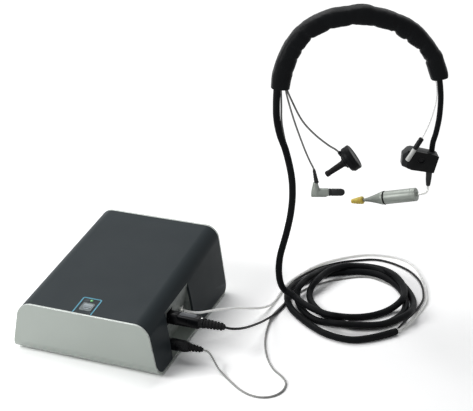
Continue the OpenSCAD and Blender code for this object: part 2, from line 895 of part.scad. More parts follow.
// A plain rubber cap that pulls off the phone's nipple.
module elbow_phone_tip() {
  color(black) on_feet()
  on_headset(46.05, 0, 130) rotate([0, 90, 0]) difference() {
    union() {
      cylinder(h = 13.4, r = 3.4);
      translate([0, 0, 13.4]) sphere(r = 3.4);
    }
    translate([0, 0, -1]) cylinder(h = 10, r = 1.65);
    translate([0, 0, 8]) cylinder(h = 12, r = 0.8);
  }
}

module elbow_cable() {
  color(grey) on_feet()
  cord([hs(-0.6, -2, 243.6), hs(1.6, -2, 234), hs(8.9, -1.5, 209.5), hs(18.6, -1, 182.6),
    hs(25, 0, 167), hs(30.3, 0, 156.1)], phone_cable_d, 1, 8, [0.34, -0.94, 0]);
}

module on_disc() {
  on_headset(67.2, 0, 167.9) rotate([0, -126.5, 0]) children();
}

module disc_phone() {
  color([0.10, 0.10, 0.11]) on_feet()
  on_disc() union() {
    translate([0, 0, -5.2]) cylinder(h = 8.2, r = 14.5);
    translate([0, 0, 3]) cylinder(h = 2.2, r = 13.2);
    translate([0, 0, 5.2]) cylinder(h = 2.6, r = 6.5);
  }
}

module disc_phone_nozzle() {
  color(black) on_feet()
  on_disc() difference() {
    translate([0, 0, 7.8]) cylinder(h = 21, r1 = 3.2, r2 = 2.4);
    translate([0, 0, 18]) cylinder(h = 12, r = 1);
  }
}

module disc_cable() {
  color(grey) on_feet()
  cord([hs(-0.6, 2, 243.6), hs(4.5, 2, 233), hs(16.4, 1.5, 209.5), hs(29.3, 1, 194.5),
    hs(43.8, 0.5, 182.6), hs(52, 0, 177.5), hs(57.9, 0, 171.8)], phone_cable_d, 1, 8,
    [0.34, -0.94, 0]);
}

module side_cable() {
  color(grey) on_feet()
  cord([hs(-4.2, 0, 243.4), hs(-3.4, 0, 226), hs(-2.9, 0, 208), hs(0.6, 0, 190),
    hs(4.6, 0, 174)], phone_cable_d, 1, 8, [0.34, -0.94, 0]);
}

top_cover();
base_tray();
connector_panel();
probe_socket();
phone_socket();
air_fitting();
usb_socket();
power_socket();
main_board();
board_standoffs();
pump_body();
pump_piston();
pump_motor();
pressure_sensor();
release_valve();
valve_plunger();
valve_spring();
key_board();
key_spacers();
key_switch();
status_led();
light_pipe();
start_key();
corner_blocks();
cover_screws();
rubber_feet();
probe_plug();
probe_plug_boot();
phone_plug();
phone_plug_boot();
probe_cable();
phone_cable();
air_tube();
cable_coil();
cable_sleeve();
headband_spring();
headband_pad();
probe_sleeve();
probe_holder();
holder_cover();
probe_strain_relief();
probe_lead();
probe_rear_cap();
probe_body();
probe_core();
probe_o_ring();
nose_cone();
ear_tip();
air_joint();
air_joint_sleeve();
air_lead();
elbow_strain_relief();
elbow_phone();
elbow_phone_tip();
elbow_cable();
disc_phone();
disc_phone_nozzle();
disc_cable();
side_cable();
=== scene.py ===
"""Dresses the table-top tympanometer: paint, printed key, plugs, leads, padded headset, stage."""

import json
import math
from functools import cache

import bmesh
import bpy
from bpy.props import FloatProperty, FloatVectorProperty, IntProperty, PointerProperty
from mathutils import Matrix, Vector, noise


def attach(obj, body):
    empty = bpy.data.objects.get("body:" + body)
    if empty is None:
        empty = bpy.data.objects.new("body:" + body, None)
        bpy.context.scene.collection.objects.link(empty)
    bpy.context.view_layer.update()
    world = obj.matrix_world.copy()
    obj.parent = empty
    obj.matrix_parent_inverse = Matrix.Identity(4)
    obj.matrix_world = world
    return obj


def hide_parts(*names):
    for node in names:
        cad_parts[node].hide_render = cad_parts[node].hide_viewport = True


bl_info = {
    "name": "Tympanometer dressing",
    "version": (1, 0, 0),
    "blender": (4, 5, 0),
    "location": "3D View > Sidebar > Tympanometer",
    "description": "Models and paints the visible pieces of a table-top tympanometer",
    "category": "Object",
}

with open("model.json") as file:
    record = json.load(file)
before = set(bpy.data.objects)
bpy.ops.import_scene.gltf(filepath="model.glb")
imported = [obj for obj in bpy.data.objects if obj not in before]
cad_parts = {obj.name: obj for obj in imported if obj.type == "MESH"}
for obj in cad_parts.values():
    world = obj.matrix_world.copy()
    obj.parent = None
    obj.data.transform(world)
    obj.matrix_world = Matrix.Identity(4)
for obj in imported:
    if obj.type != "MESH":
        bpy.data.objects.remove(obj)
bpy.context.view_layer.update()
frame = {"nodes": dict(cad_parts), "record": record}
MM = 0.001

# ---------------------------------------------------------------- places


def srgb(red, green, blue):
    """A colour given as it looks on the screen, 0 to 255, as the linear colour that nodes take."""
    parts = [value / 255 for value in (red, green, blue)]
    return tuple(c / 12.92 if c <= 0.04045 else ((c + 0.055) / 1.055) ** 2.4 for c in parts)


def move(x, y, z):
    return Matrix.Translation(Vector((x, y, z)) * MM)


def turn(angle, axis):
    return Matrix.Rotation(math.radians(angle), 4, axis)


def at(x, y, z):
    return Vector((x, y, z)) * MM


# Heights of the base unit are counted from the tray's underside, which stands on feet.
FEET = move(0, 0, 1.5)
HALF_D = 94.0
FRONT_H = 56.0
REAR_H = 76.5
SLOPE = (REAR_H - FRONT_H) / (2 * HALF_D)
TILT = math.degrees(math.atan(SLOPE))
# Half widths of the unit: cover and sheet at the foot, and both of them at the top.
COVER_HALF, SHEET_HALF, TOP_HALF = 79.55, 79.3, 68.5
KEY_Y = -80.7
LAMP = move(0, 10.5, 0)
# How far the screws and the feet are from the unit's middle: to each side, and lengthwise.
SCREW_X, FOOT_X, CORNER_Y = 67, 52, 72
HEADSET = move(144, 88, 1.5) @ turn(20, "Z")
PROBE = HEADSET @ move(137.4, 0, 128.2) @ turn(155, "Z") @ turn(17, "Y") @ turn(90, "Y")
DISC = HEADSET @ move(67.2, 0, 167.9) @ turn(-126.5, "Y")
AIR_JOINT = HEADSET @ move(135.8, -13.25, 195.4) @ turn(208.7, "Y")
# The headband bends round this point of the headset's plane, between these angles.
BAND_S, BAND_Z = 71.5, 239.0
BAND_A0, BAND_A1 = 11.0, 176.4
BAND_RADIUS = 78.0
# Half width of its padding: before it is blown up, as measured, and at most.
PAD_START, PAD_HALF, PAD_MOST = 11.0, 11.5, 12.3


def top_height(y):
    return FRONT_H + SLOPE * (y + HALF_D)


def on_top(y):
    return FEET @ move(0, y, top_height(y)) @ turn(TILT, "X")


def along_x(x, y, z):
    return FEET @ move(x, y, z) @ turn(90, "Y")


def hs(s, d, z):
    """A point of the headset's upright plane: s to its right, d away from the viewer."""
    return tuple((HEADSET @ at(s, d, z)) / MM)


def on_band(radius, angle, depth=0.0):
    """A point round the headband's middle, at an angle in degrees."""
    a = math.radians(angle)
    return HEADSET @ at(BAND_S + radius * math.cos(a), depth, BAND_Z + radius * math.sin(a))


# ---------------------------------------------------------------- modelling


def select_only(obj):
    bpy.ops.object.select_all(action="DESELECT")
    obj.select_set(True)
    bpy.context.view_layer.objects.active = obj


def begin(shape, **settings):
    bpy.ops.object.select_all(action="DESELECT")
    getattr(bpy.ops.mesh, f"primitive_{shape}_add")(**settings)
    return bpy.context.object


def settle(obj):
    """Puts the piece's place and turn into its mesh."""
    select_only(obj)
    bpy.ops.object.transform_apply(location=True, rotation=True, scale=True)
    return obj


def placed(obj, place):
    obj.matrix_world = place @ obj.matrix_world
    return settle(obj)


def middle(part):
    """The middle of a face or an edge, or the place of a corner, in mm."""
    if hasattr(part, "calc_center_median"):
        return part.calc_center_median() / MM
    if hasattr(part, "verts"):
        return (part.verts[0].co + part.verts[1].co) / 2 / MM
    return part.co / MM


def runs(edge, axis):
    """Whether an edge runs along X, Y or Z (0, 1, 2), give or take 20 degrees."""
    line = (edge.verts[1].co - edge.verts[0].co).normalized()
    return abs(line[axis]) > 0.93


class Shaping:
    """Edit mode on one piece, with faces, edges or corners picked by their place."""

    def __init__(self, obj):
        self.obj = obj

    def __enter__(self):
        select_only(self.obj)
        bpy.ops.object.mode_set(mode="EDIT")
        return self

    def __exit__(self, *trouble):
        bpy.ops.object.mode_set(mode="OBJECT")

    def pick(self, kind, test):
        bpy.ops.mesh.select_mode(type=kind)
        bpy.ops.mesh.select_all(action="DESELECT")
        shape = bmesh.from_edit_mesh(self.obj.data)
        parts = {"FACE": shape.faces, "EDGE": shape.edges, "VERT": shape.verts}[kind]
        found = [part for part in parts if test(part)]
        if not found:
            raise RuntimeError(f"{self.obj.name}: nothing to pick")
        for part in found:
            part.select_set(True)
        shape.select_flush_mode()
        bmesh.update_edit_mesh(self.obj.data)

    def all(self):
        bpy.ops.mesh.select_mode(type="VERT")
        bpy.ops.mesh.select_all(action="SELECT")

    def outward(self):
        self.all()
        bpy.ops.mesh.normals_make_consistent(inside=False)

    def bevel(self, test, width, segments, kind="EDGE"):
        """Rounds the picked edges, or the picked corners of a flat piece."""
        self.pick(kind, test)
        affect = {"EDGE": "EDGES", "VERT": "VERTICES"}[kind]
        bpy.ops.mesh.bevel(offset=width * MM, segments=segments, affect=affect)

    def inset(self, test, *steps):
        """Insets the picked faces once for each (width, depth)."""
        self.pick("FACE", test)
        for width, depth in steps:
            bpy.ops.mesh.inset(thickness=width * MM, depth=depth * MM)

    def extrude(self, rise):
        bpy.ops.mesh.extrude_region_move(TRANSFORM_OT_translate={"value": (0, 0, rise * MM)})

    def swell(self, amount):
        bpy.ops.mesh.extrude_region_shrink_fatten(
            TRANSFORM_OT_shrink_fatten={"value": amount * MM})

    def split(self, place, way, **cleared):
        """Cuts the whole mesh in a plane; where a side is cleared, the cut is closed."""
        self.all()
        bpy.ops.mesh.bisect(plane_co=place, plane_no=way, use_fill=bool(cleared), **cleared)


def block(x0, x1, y0, y1, z0, z1, rounded=None):
    """A block between six sides; rounded is (axis, width, segments) of the edges to round."""
    obj = settle(begin("cube", size=1, location=at(x0 + x1, y0 + y1, z0 + z1) / 2,
                       scale=at(x1 - x0, y1 - y0, z1 - z0)))
    if rounded:
        axis, width, segments = rounded
        with Shaping(obj) as edit:
            edit.bevel(lambda e: runs(e, axis), width, segments)
    return obj


def flat(width, depth, x=0, y=0, z=0):
    """A flat rectangle round a point."""
    obj = begin("plane", size=1, location=at(x, y, z))
    obj.scale = (width * MM, depth * MM, 1)
    return settle(obj)


def turned(profile, sides=48, place=None):
    """A turned piece along +Z; profile holds (height, radius) from end to end."""
    z0, r0 = profile[0]
    obj = settle(begin("circle", vertices=sides, radius=r0 * MM, fill_type="NGON",
                       location=at(0, 0, z0)))
    with Shaping(obj) as edit:
        edit.all()
        bpy.ops.mesh.select_mode(type="FACE")
        for z1, r1 in profile[1:]:
            edit.extrude(z1 - z0)
            scale = r1 / r0
            bpy.ops.transform.resize(value=(scale, scale, 1), center_override=(0, 0, z1 * MM))
            z0, r0 = z1, r1
        edit.outward()
    return obj if place is None else placed(obj, place)


def carved(outline, d0, d1):
    """A plate of a convex outline, given as (x, z), cut from a block with one cut a side."""
    xs, zs = zip(*outline)
    obj = block(min(xs) - 1, max(xs) + 1, d0, d1, min(zs) - 1, max(zs) + 1)
    centre = Vector((sum(xs) / len(xs), 0, sum(zs) / len(zs)))
    with Shaping(obj) as edit:
        for (x0, z0), (x1, z1) in zip(outline, outline[1:] + outline[:1]):
            out = Vector((z1 - z0, 0, x0 - x1)).normalized()
            if out.dot(Vector((x0, 0, z0)) - centre) < 0:
                out = -out
            edit.split(at(x0, 0, z0), out, clear_outer=True)
    return obj


def change(obj, kind, **settings):
    """Gives a piece a modifier with these settings and applies it."""
    modifier = obj.modifiers.new(kind.title(), kind)
    for key, value in settings.items():
        setattr(modifier, key, value)
    select_only(obj)
    bpy.ops.object.modifier_apply(modifier=modifier.name)


def cut(obj, cutter):
    change(obj, "BOOLEAN", operation="DIFFERENCE", object=cutter, solver="EXACT")
    bpy.data.objects.remove(cutter, do_unlink=True)


def soften(obj, width, segments=2, angle=35):
    """Rounds the sharp edges of a piece by a few tenths of a millimetre."""
    change(obj, "BEVEL", width=width * MM, segments=segments, limit_method="ANGLE",
           angle_limit=math.radians(angle))


def thicken(obj, wall, offset):
    change(obj, "SOLIDIFY", thickness=wall * MM, offset=offset, use_even_offset=True)


def even_shading(obj):
    """Keeps large flat faces flat beside small rounded ones."""
    change(obj, "WEIGHTED_NORMAL", keep_sharp=True, weight=80)


def fuse(*objs):
    bpy.ops.object.select_all(action="DESELECT")
    for obj in objs:
        obj.select_set(True)
    bpy.context.view_layer.objects.active = objs[0]
    bpy.ops.object.join()
    return bpy.context.object


def finish(obj, name, paint, slot=None, place=None, nodes="", body="unit", smooth=35):
    """Places, names, paints and mounts one finished piece, which may stand for CAD nodes."""
    placed(obj, place or Matrix())
    bpy.ops.object.shade_smooth_by_angle(angle=math.radians(smooth))
    obj.name = name
    obj.data.name = name
    obj.data.materials.clear()
    obj.data.materials.append(FINISHES[paint]())
    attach(obj, body)
    if nodes:
        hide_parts(*nodes.split())


# ---------------------------------------------------------------- cords


def smooth_line(points, steps):
    """The route's points with steps - 1 more between each two, on one smooth curve."""
    p = [Vector(q) for q in points]
    out = []
    for i in range(len(p) - 1):
        a, b, c, d = p[max(i - 1, 0)], p[i], p[i + 1], p[min(i + 2, len(p) - 1)]
        for k in range(steps):
            t = k / steps
            out.append(0.5 * (2 * b + (c - a) * t + (2 * a - 5 * b + 4 * c - d) * t * t
                              + (3 * b - a - 3 * c + d) * t * t * t))
    return out + [p[-1]]


def evenly(points, spacing):
    """Points of the same line at even steps of about the given spacing."""
    marks = [0.0]
    for a, b in zip(points, points[1:]):
        marks.append(marks[-1] + (b - a).length)
    count = max(4, round(marks[-1] / spacing))
    out = []
    i = 0
    for k in range(count + 1):
        goal = marks[-1] * k / count
        while i < len(points) - 2 and marks[i + 1] < goal:
            i += 1
        part = (goal - marks[i]) / max(marks[i + 1] - marks[i], 1e-9)
        out.append(points[i].lerp(points[i + 1], min(max(part, 0), 1)))
    return out


def skin(name, verts, sides):
    """A closed skin over rings of corners, with so many sides in each ring."""
    faces = []
    for start in range(0, len(verts) - sides, sides):
        for k in range(sides):
            a, b = start + k, start + (k + 1) % sides
            faces.append((a, b, b + sides, a + sides))
    faces.append(tuple(range(sides - 1, -1, -1)))
    faces.append(tuple(range(len(verts) - sides, len(verts))))
    mesh = bpy.data.meshes.new(name)
    mesh.from_pydata([tuple(v) for v in verts], [], faces)
    obj = bpy.data.objects.new(name, mesh)
    bpy.context.collection.objects.link(obj)
    return obj


def tube(route, diameter, sides, spacing):
    """A cord's tube along a route. Its UV map holds metres along it and turns round it."""
    line = [q * MM for q in evenly(smooth_line(route, 8), spacing)]
    side = (line[1] - line[0]).normalized().orthogonal().normalized()
    verts = []
    along = [0.0]
    for i, centre in enumerate(line):
        ahead = (line[min(i + 1, len(line) - 1)] - line[max(i - 1, 0)]).normalized()
        side = (side - ahead * side.dot(ahead)).normalized()
        other = ahead.cross(side)
        if i:
            along.append(along[-1] + (centre - line[i - 1]).length)
        for k in range(sides):
            angle = 2 * math.pi * k / sides
            verts.append(centre + diameter * MM / 2
                         * (math.cos(angle) * side + math.sin(angle) * other))
    obj = skin("tube", verts, sides)
    layer = obj.data.uv_layers.new(name="UVMap")
    for face in obj.data.polygons:
        last_side = (max(v % sides for v in face.vertices) == sides - 1
                     and len({v // sides for v in face.vertices}) == 2)
        for loop, corner in zip(face.loop_indices, face.vertices):
            row, k = divmod(corner, sides)
            layer.data[loop].uv = (along[row], 1.0 if last_side and k == 0 else k / sides)
    return obj, line


def lay_cord(name, route, diameter, paint, slot, nodes, length, **facts):
    """A cord along a route from where it leaves the object. Its length is not used."""
    sides, spacing = (8, 1.6) if diameter < 3 else (14, 2.4)
    obj, line = tube(route, diameter, sides, spacing)
    finish(obj, name, paint, slot, nodes=nodes, smooth=60)


# ---------------------------------------------------------------- finishes


class Nodes:
    """A node tree under construction; an input is a value or another node's output."""

    def __init__(self, tree):
        self.tree = tree

    def fill(self, socket, value):
        if isinstance(value, bpy.types.NodeSocket):
            self.tree.links.new(value, socket)
        elif socket.type == "RGBA" and len(value) == 3:
            socket.default_value = (*value, 1.0)
        else:
            socket.default_value = value

    def put(self, node, **inputs):
        for key, value in inputs.items():
            self.fill(node.inputs[key.replace("_", " ")], value)

    def add(self, kind, **settings):
        """Adds a node. Small letters name its own settings, a capital begins an input."""
        node = self.tree.nodes.new("ShaderNode" + kind)
        count = len(self.tree.nodes)
        node.location = (180 * (count % 7) - 900, 300 - 120 * count)
        inputs = {key: value for key, value in settings.items() if key[0].isupper()}
        for key, value in settings.items():
            if key not in inputs:
                setattr(node, key, value)
        self.put(node, **inputs)
        return node

    def place(self, kind="Object"):
        return self.add("TexCoord").outputs[kind]

    def cloud(self, **settings):
        return self.add("TexNoise", Vector=self.place(), **settings).outputs["Fac"]

    def math(self, operation, first, second=0.5, clamp=False):
        node = self.add("Math", operation=operation, use_clamp=clamp)
        self.fill(node.inputs[0], first)
        self.fill(node.inputs[1], second)
        return node.outputs[0]

    def blend(self, factor, first, second, way="MIX"):
        node = self.add("Mix", data_type="RGBA", blend_type=way)
        for place, value in ((0, factor), (6, first), (7, second)):
            self.fill(node.inputs[place], value)
        return node.outputs[2]

    def spread(self, value, low, high, **ends):
        node = self.add("MapRange", Value=value, From_Min=low, From_Max=high, **ends)
        return node.outputs["Result"]

    def use(self, effect, out, **inputs):
        """Places an effect and gives its output of that name."""
        return self.add("Group", node_tree=effect(), **inputs).outputs[out]


def effect(name, **inputs):
    """Makes a node group of a function; it is built at its first use and then shared."""

    def wrap(build):
        @cache
        def group():
            tree = bpy.data.node_groups.new(name, "ShaderNodeTree")

            def socket(label, colour, way):
                kind = "NodeSocketColor" if colour else "NodeSocketFloat"
                return tree.interface.new_socket(label, in_out=way, socket_type=kind)

            for key, value in inputs.items():
                label = key.replace("_", " ")
                socket(label, isinstance(value, tuple), "INPUT").default_value = value
            net = Nodes(tree)
            results = build(net, tree.nodes.new("NodeGroupInput").outputs)
            for label in results:
                socket(label, label == "Colour", "OUTPUT")
            leave = tree.nodes.new("NodeGroupOutput")
            leave.location = (700, 0)
            net.put(leave, **results)
            return tree

        return group

    return wrap


@effect("Tone drift", Colour=(0.5, 0.5, 0.5, 1), Other_colour=(0.4, 0.4, 0.4, 1), Scale=30.0,
        Amount=0.5)
def tone_drift(net, given):
    """Slow changes of colour over a surface, as paint and moulded plastic have."""
    mask = net.spread(net.cloud(Scale=given["Scale"], Detail=3), 0.35, 0.65)
    part = net.math("MULTIPLY", mask, given["Amount"])
    return {"Colour": net.blend(part, given["Colour"], given["Other colour"])}


@effect("Rubbed and highlit edges", Colour=(0.5, 0.5, 0.5, 1), Worn_colour=(0.8, 0.8, 0.8, 1), Amount=0.5)
def rubbed_and_highlit_edges(net, given):
    """Corners and rims made lighter, broken up by a fine cloud: rubbed paint, and on the silver
    sheet painted highlight too.
    """
    rim = net.spread(net.add("NewGeometry").outputs["Pointiness"], 0.53, 0.62)
    broken = net.spread(net.cloud(Scale=220, Detail=4), 0.3, 0.6)
    part = net.math("MULTIPLY", net.math("MULTIPLY", rim, broken), given["Amount"], clamp=True)
    return {"Colour": net.blend(part, given["Colour"], given["Worn colour"])}


@effect("Fine grain", Grain_size=1500.0, Unevenness=0.3)
def fine_grain(net, given):
    """The grain of powder paint or spark-eroded plastic, with a slower unevenness under it."""
    wave = net.math("MULTIPLY", net.cloud(Scale=60), given["Unevenness"])
    return {"Height": net.math("ADD", net.cloud(Scale=given["Grain size"], Detail=2), wave)}


@effect("Surface shine", Low=0.3, High=0.4, Scale=40.0)
def surface_shine(net, given):
    """Roughness that changes a little from place to place, as handled surfaces do."""
    cloud = net.cloud(Scale=given["Scale"], Detail=4)
    return {"Roughness": net.spread(cloud, 0.3, 0.7, To_Min=given["Low"], To_Max=given["High"])}


@effect("Braid", Strands=8.0, Pitch=0.0025)
def braid_pattern(net, given):
    """Crossing strands of a braided sheath, from metres along it and turns round it."""
    split = net.add("SeparateXYZ", Vector=net.place("UV")).outputs
    along = net.math("DIVIDE", split["X"], given["Pitch"])
    around = net.math("MULTIPLY", split["Y"], given["Strands"])
    ridges = []
    for way in ("ADD", "SUBTRACT"):
        angle = net.math("MULTIPLY", net.math(way, along, around), math.pi)
        ridges.append(net.math("ABSOLUTE", net.math("SINE", angle)))
    height = net.math("MULTIPLY", *ridges)
    # The mask is low in the gaps between the strands; the braid uses it to paint shade there.
    return {"Height": height, "Mask": net.spread(height, 0.1, 0.7)}


@effect("Cloth face", Pebble_size=900.0, Lines=0.4)
def cloth_face(net, given):
    """The fine pebbled face of coated cloth, with faint stretch lines."""
    pebble = net.add("TexVoronoi", Vector=net.place(), Scale=given["Pebble size"])
    lines = net.cloud(Scale=140, Detail=5, Distortion=1.2)
    crease = net.math("MULTIPLY", lines, given["Lines"])
    return {"Height": net.math("ADD", pebble.outputs["Distance"], crease)}


class Recipe(Nodes):
    """A material under construction; the values given by name are its shader's own."""

    def __init__(self, name, **sockets):
        self.material = bpy.data.materials.new(name)
        self.material.use_nodes = True
        super().__init__(self.material.node_tree)
        self.shader = self.tree.nodes["Principled BSDF"]
        self.shader.location = (600, 0)
        self.put(self.shader, **sockets)

    def tone(self, colour, other, scale, amount):
        return self.use(tone_drift, "Colour", Colour=colour, Other_colour=other, Scale=scale,
                        Amount=amount)

    def face(self, colour, shine=None):
        """Sets the colour and, from (low, high, scale), the roughness."""
        self.put(self.shader, Base_Color=colour)
        if shine:
            low, high, scale = shine
            rough = self.use(surface_shine, "Roughness", Low=low, High=high, Scale=scale)
            self.put(self.shader, Roughness=rough)

    def bump(self, height, strength, depth):
        node = self.add("Bump", Strength=strength, Distance=depth * MM, Height=height)
        self.put(self.shader, Normal=node.outputs["Normal"])

    def grain(self, size, unevenness, strength, depth):
        self.bump(self.use(fine_grain, "Height", Grain_size=size, Unevenness=unevenness),
                  strength, depth)


FINISHES = {}


def offer(recipe, name, *values, **named):
    """Adds a finish that its recipe makes at its first use; colours are given as they look."""
    def make():
        parts = [srgb(*value) if isinstance(value, tuple) else value for value in values]
        return recipe(name, *parts, **named)

    FINISHES[name] = cache(make)


def finish_recipe(build):
    """Adds a finish that has a function of its own name."""
    FINISHES[build.__name__] = cache(build)
    return build


def coated(name, colour, other, worn, low, high, grain=1500, depth=0.03, wear=0.5, drift=18,
           amount=0.5, **sockets):
    """Paint or moulded plastic: drifting tone, edges lighter from rubbing and painted highlight,
    fine grain, uneven shine.
    """
    mix = Recipe(name, **sockets)
    edge = mix.use(rubbed_and_highlit_edges, "Colour", Colour=mix.tone(colour, other, drift, amount),
                   Worn_colour=worn, Amount=wear)
    mix.face(edge, (low, high, drift * 2.5))
    mix.grain(grain, 0.4, 0.35, depth)
    return mix.material


def bare_metal(name, colour, low, high, brush=0.0):
    mix = Recipe(name, Metallic=1.0)
    mix.face(mix.tone(colour, Vector(colour) * 0.85, 80.0, 0.6), (low, high, 160.0))
    mix.grain(2400.0, 0.6, 0.2, 0.01 + brush)
    return mix.material


def print_ink(name, colour):
    """Screen-printed ink with a slightly uneven edge and a matt face."""
    mix = Recipe(name, Roughness=0.5)
    mix.face(mix.tone(colour, Vector(colour) * 0.8, 300.0, 0.7))
    mix.grain(2600.0, 0.3, 0.25, 0.01)
    return mix.material


def corded(name, colour, other, low, high):
    """The skin of an extruded lead: drawn lines along it and small scuffs."""
    mix = Recipe(name, Specular_IOR_Level=0.2)
    mix.face(mix.tone(colour, other, 120.0, 0.6), (low, high, 260.0))
    stretch = mix.add("Mapping", Vector=mix.place("UV"), Scale=(60.0, 9.0, 1.0))
    lines = mix.add("TexNoise", Scale=3.0, Detail=3.0, Vector=stretch.outputs["Vector"])
    mix.bump(lines.outputs["Fac"], 0.25, 0.03)
    return mix.material


def chosen(name):
    """A colour that the user chose."""
    return Vector(getattr(bpy.context.scene.tymp_colours, name))


@finish_recipe
def cover_paint():
    c = chosen("cover")
    return coated("cover_paint", c, c * 1.12, srgb(104, 110, 112), 0.36, 0.44, grain=2600,
                  depth=0.012, wear=0.35, drift=14, amount=0.6, Specular_IOR_Level=0.05)


@finish_recipe
def silver_paint():
    c = chosen("sheet")
    # Its lighter edges are partly rubbed paint and partly painted highlight along the sheet's rims
    # and bends.
    return coated("silver_paint", c, c * 0.93, srgb(206, 212, 208), 0.34, 0.44, grain=3200,
                  depth=0.01, wear=0.7, drift=12, Metallic=0.3)


@finish_recipe
def tip_rubber():
    c = chosen("tip")
    return coated("tip_rubber", c, c * 0.86, c * 1.1, 0.42, 0.55, depth=0.02, wear=0.2,
                  drift=160, Subsurface_Weight=0.15, Subsurface_Scale=0.002)


@finish_recipe
def outline_ink():
    return print_ink("outline_ink", chosen("outline"))


offer(print_ink, "pale_ink", (150, 160, 166))
# Brighter finish for the sheet's rim faces: the bare edge, with painted highlight along the rim.
offer(coated, "cut_edge", (206, 212, 208), (192, 198, 194), (232, 235, 232), 0.22, 0.3,
      grain=3200, depth=0.008, wear=0.6, drift=40, Metallic=0.4)
# The connector panel's grey is the silver made darker: painted shade of the recess it sits in.
offer(coated, "panel_paint", (112, 118, 115), (98, 104, 101), (170, 175, 171), 0.4, 0.5,
      grain=2600, depth=0.012, wear=0.6, Metallic=0.3)
offer(coated, "black_plastic", (10, 11, 13), (16, 17, 19), (46, 48, 50), 0.36, 0.5, grain=1800,
      depth=0.02, drift=45, Specular_IOR_Level=0.08)
offer(coated, "black_satin", (10, 11, 13), (15, 16, 19), (50, 52, 54), 0.24, 0.34, grain=2200,
      depth=0.01, drift=60, Specular_IOR_Level=0.12)
# Mid grey of the probe plug's top plate: painted highlight on the top of the black plug.
offer(coated, "plug_plate", (52, 56, 62), (44, 48, 54), (104, 108, 114), 0.3, 0.42, grain=2400,
      depth=0.012, drift=60)
offer(coated, "holder_plate", (6, 7, 8), (12, 13, 14), (50, 52, 52), 0.28, 0.4, grain=1700,
      depth=0.015, drift=50, Specular_IOR_Level=0.1)
offer(coated, "holder_side", (36, 38, 39), (44, 46, 47), (84, 86, 86), 0.36, 0.48, grain=1700,
      depth=0.02, drift=50, Specular_IOR_Level=0.12)
offer(coated, "black_rubber", (12, 12, 13), (19, 19, 20), (40, 40, 41), 0.55, 0.68, grain=1300,
      wear=0.3, drift=70, Specular_IOR_Level=0.14)
offer(coated, "relief_rubber", (34, 35, 36), (44, 45, 46), (72, 73, 74), 0.48, 0.6, grain=1400,
      wear=0.4, drift=70, Specular_IOR_Level=0.2)
offer(coated, "probe_silver", (152, 158, 151), (144, 150, 144), (206, 211, 204), 0.36, 0.44,
      grain=3000, depth=0.008, drift=60, Metallic=0.3)
offer(coated, "key_face", (92, 102, 104), (82, 92, 94), (130, 138, 138), 0.4, 0.5, grain=2200,
      depth=0.015, wear=0.3, drift=80)
offer(coated, "white_plastic", (214, 215, 212), (200, 201, 198), (236, 236, 234), 0.3, 0.4,
      grain=2200, depth=0.008, wear=0.3, drift=90)
offer(coated, "pump_plastic", (205, 205, 198), (188, 188, 180), (226, 226, 220), 0.4, 0.5,
      grain=1400, depth=0.02, wear=0.4, drift=40)
offer(coated, "dark_casing", (60, 61, 64), (48, 49, 52), (110, 111, 113), 0.4, 0.55,
      depth=0.02, wear=0.8, drift=40, Metallic=0.4)
offer(bare_metal, "bright_metal", (214, 215, 212), 0.16, 0.28)
offer(bare_metal, "spring_steel", (176, 177, 178), 0.24, 0.4, 0.01)
offer(bare_metal, "brass", (206, 178, 104), 0.22, 0.36)
offer(corded, "black_lead", (16, 16, 17), (26, 26, 27), 0.36, 0.5)
offer(corded, "grey_lead", (172, 172, 170), (150, 150, 148), 0.38, 0.5)
# The same grey lead painted darker where it hangs: painted shade, so the thin leads keep their
# tone against the white behind them.
offer(corded, "hanging_lead", (142, 142, 140), (126, 126, 124), 0.42, 0.56)


@finish_recipe
def circuit_board():
    """Green solder mask over a faint grid of copper tracks."""
    mix = Recipe("circuit_board", Roughness=0.35)
    tracks = mix.add("TexBrick", Vector=mix.place(), Scale=90.0, Color1=srgb(24, 92, 52),
                     Color2=srgb(20, 80, 46), Mortar=srgb(46, 124, 70)).outputs
    mix.face(mix.tone(tracks["Color"], srgb(18, 66, 40), 25.0, 0.5))
    mix.bump(tracks["Fac"], 0.3, 0.03)
    return mix.material


@finish_recipe
def lamp_green():
    """The lens of the status lamp, moulded in clear green and lit from below."""
    mix = Recipe("lamp_green", Roughness=0.2, Emission_Strength=0.35, Coat_Weight=0.6)
    tone = mix.tone(srgb(86, 176, 92), srgb(60, 142, 70), 600.0, 0.8)
    mix.put(mix.shader, Base_Color=tone, Emission_Color=tone)
    return mix.material


@finish_recipe
def clear_tubing():
    """Milky soft tubing: light passes a little way in, and its skin shines; its weak white glow is
    painted light for what shines through it.
    """
    mix = Recipe("clear_tubing", Subsurface_Weight=1.0, Subsurface_Scale=0.006, Coat_Weight=0.1,
                 Emission_Strength=0.12, Specular_IOR_Level=0.3, Emission_Color=(1.0, 1.0, 0.96),
                 Subsurface_Radius=(1.0, 1.0, 0.95))
    mix.face(mix.tone(srgb(248, 249, 244), srgb(240, 241, 234), 90.0, 0.7), (0.22, 0.34, 200.0))
    mix.grain(1400.0, 0.8, 0.15, 0.02)
    return mix.material


@finish_recipe
def braid():
    """Braided sheath of fine black thread, a little greyed where it is handled."""
    mix = Recipe("braid", Specular_IOR_Level=0.06, Sheen_Weight=0.02, Sheen_Roughness=0.4,
                 Sheen_Tint=(0.8, 0.85, 0.88))
    weave = mix.add("Group", node_tree=braid_pattern(), Strands=8.0, Pitch=0.0026).outputs
    tone = mix.tone(srgb(14, 15, 17), srgb(24, 26, 28), 22.0, 0.8)
    # Multiplying by the weave's mask darkens the gaps between strands: painted shade.
    ramp = mix.add("ValToRGB", Fac=weave["Mask"])
    ramp.color_ramp.elements[0].color = (0.35, 0.35, 0.35, 1)
    mix.face(mix.blend(0.55, tone, ramp.outputs["Color"], "MULTIPLY"), (0.42, 0.55, 60.0))
    mix.bump(weave["Height"], 0.7, 0.25)
    return mix.material


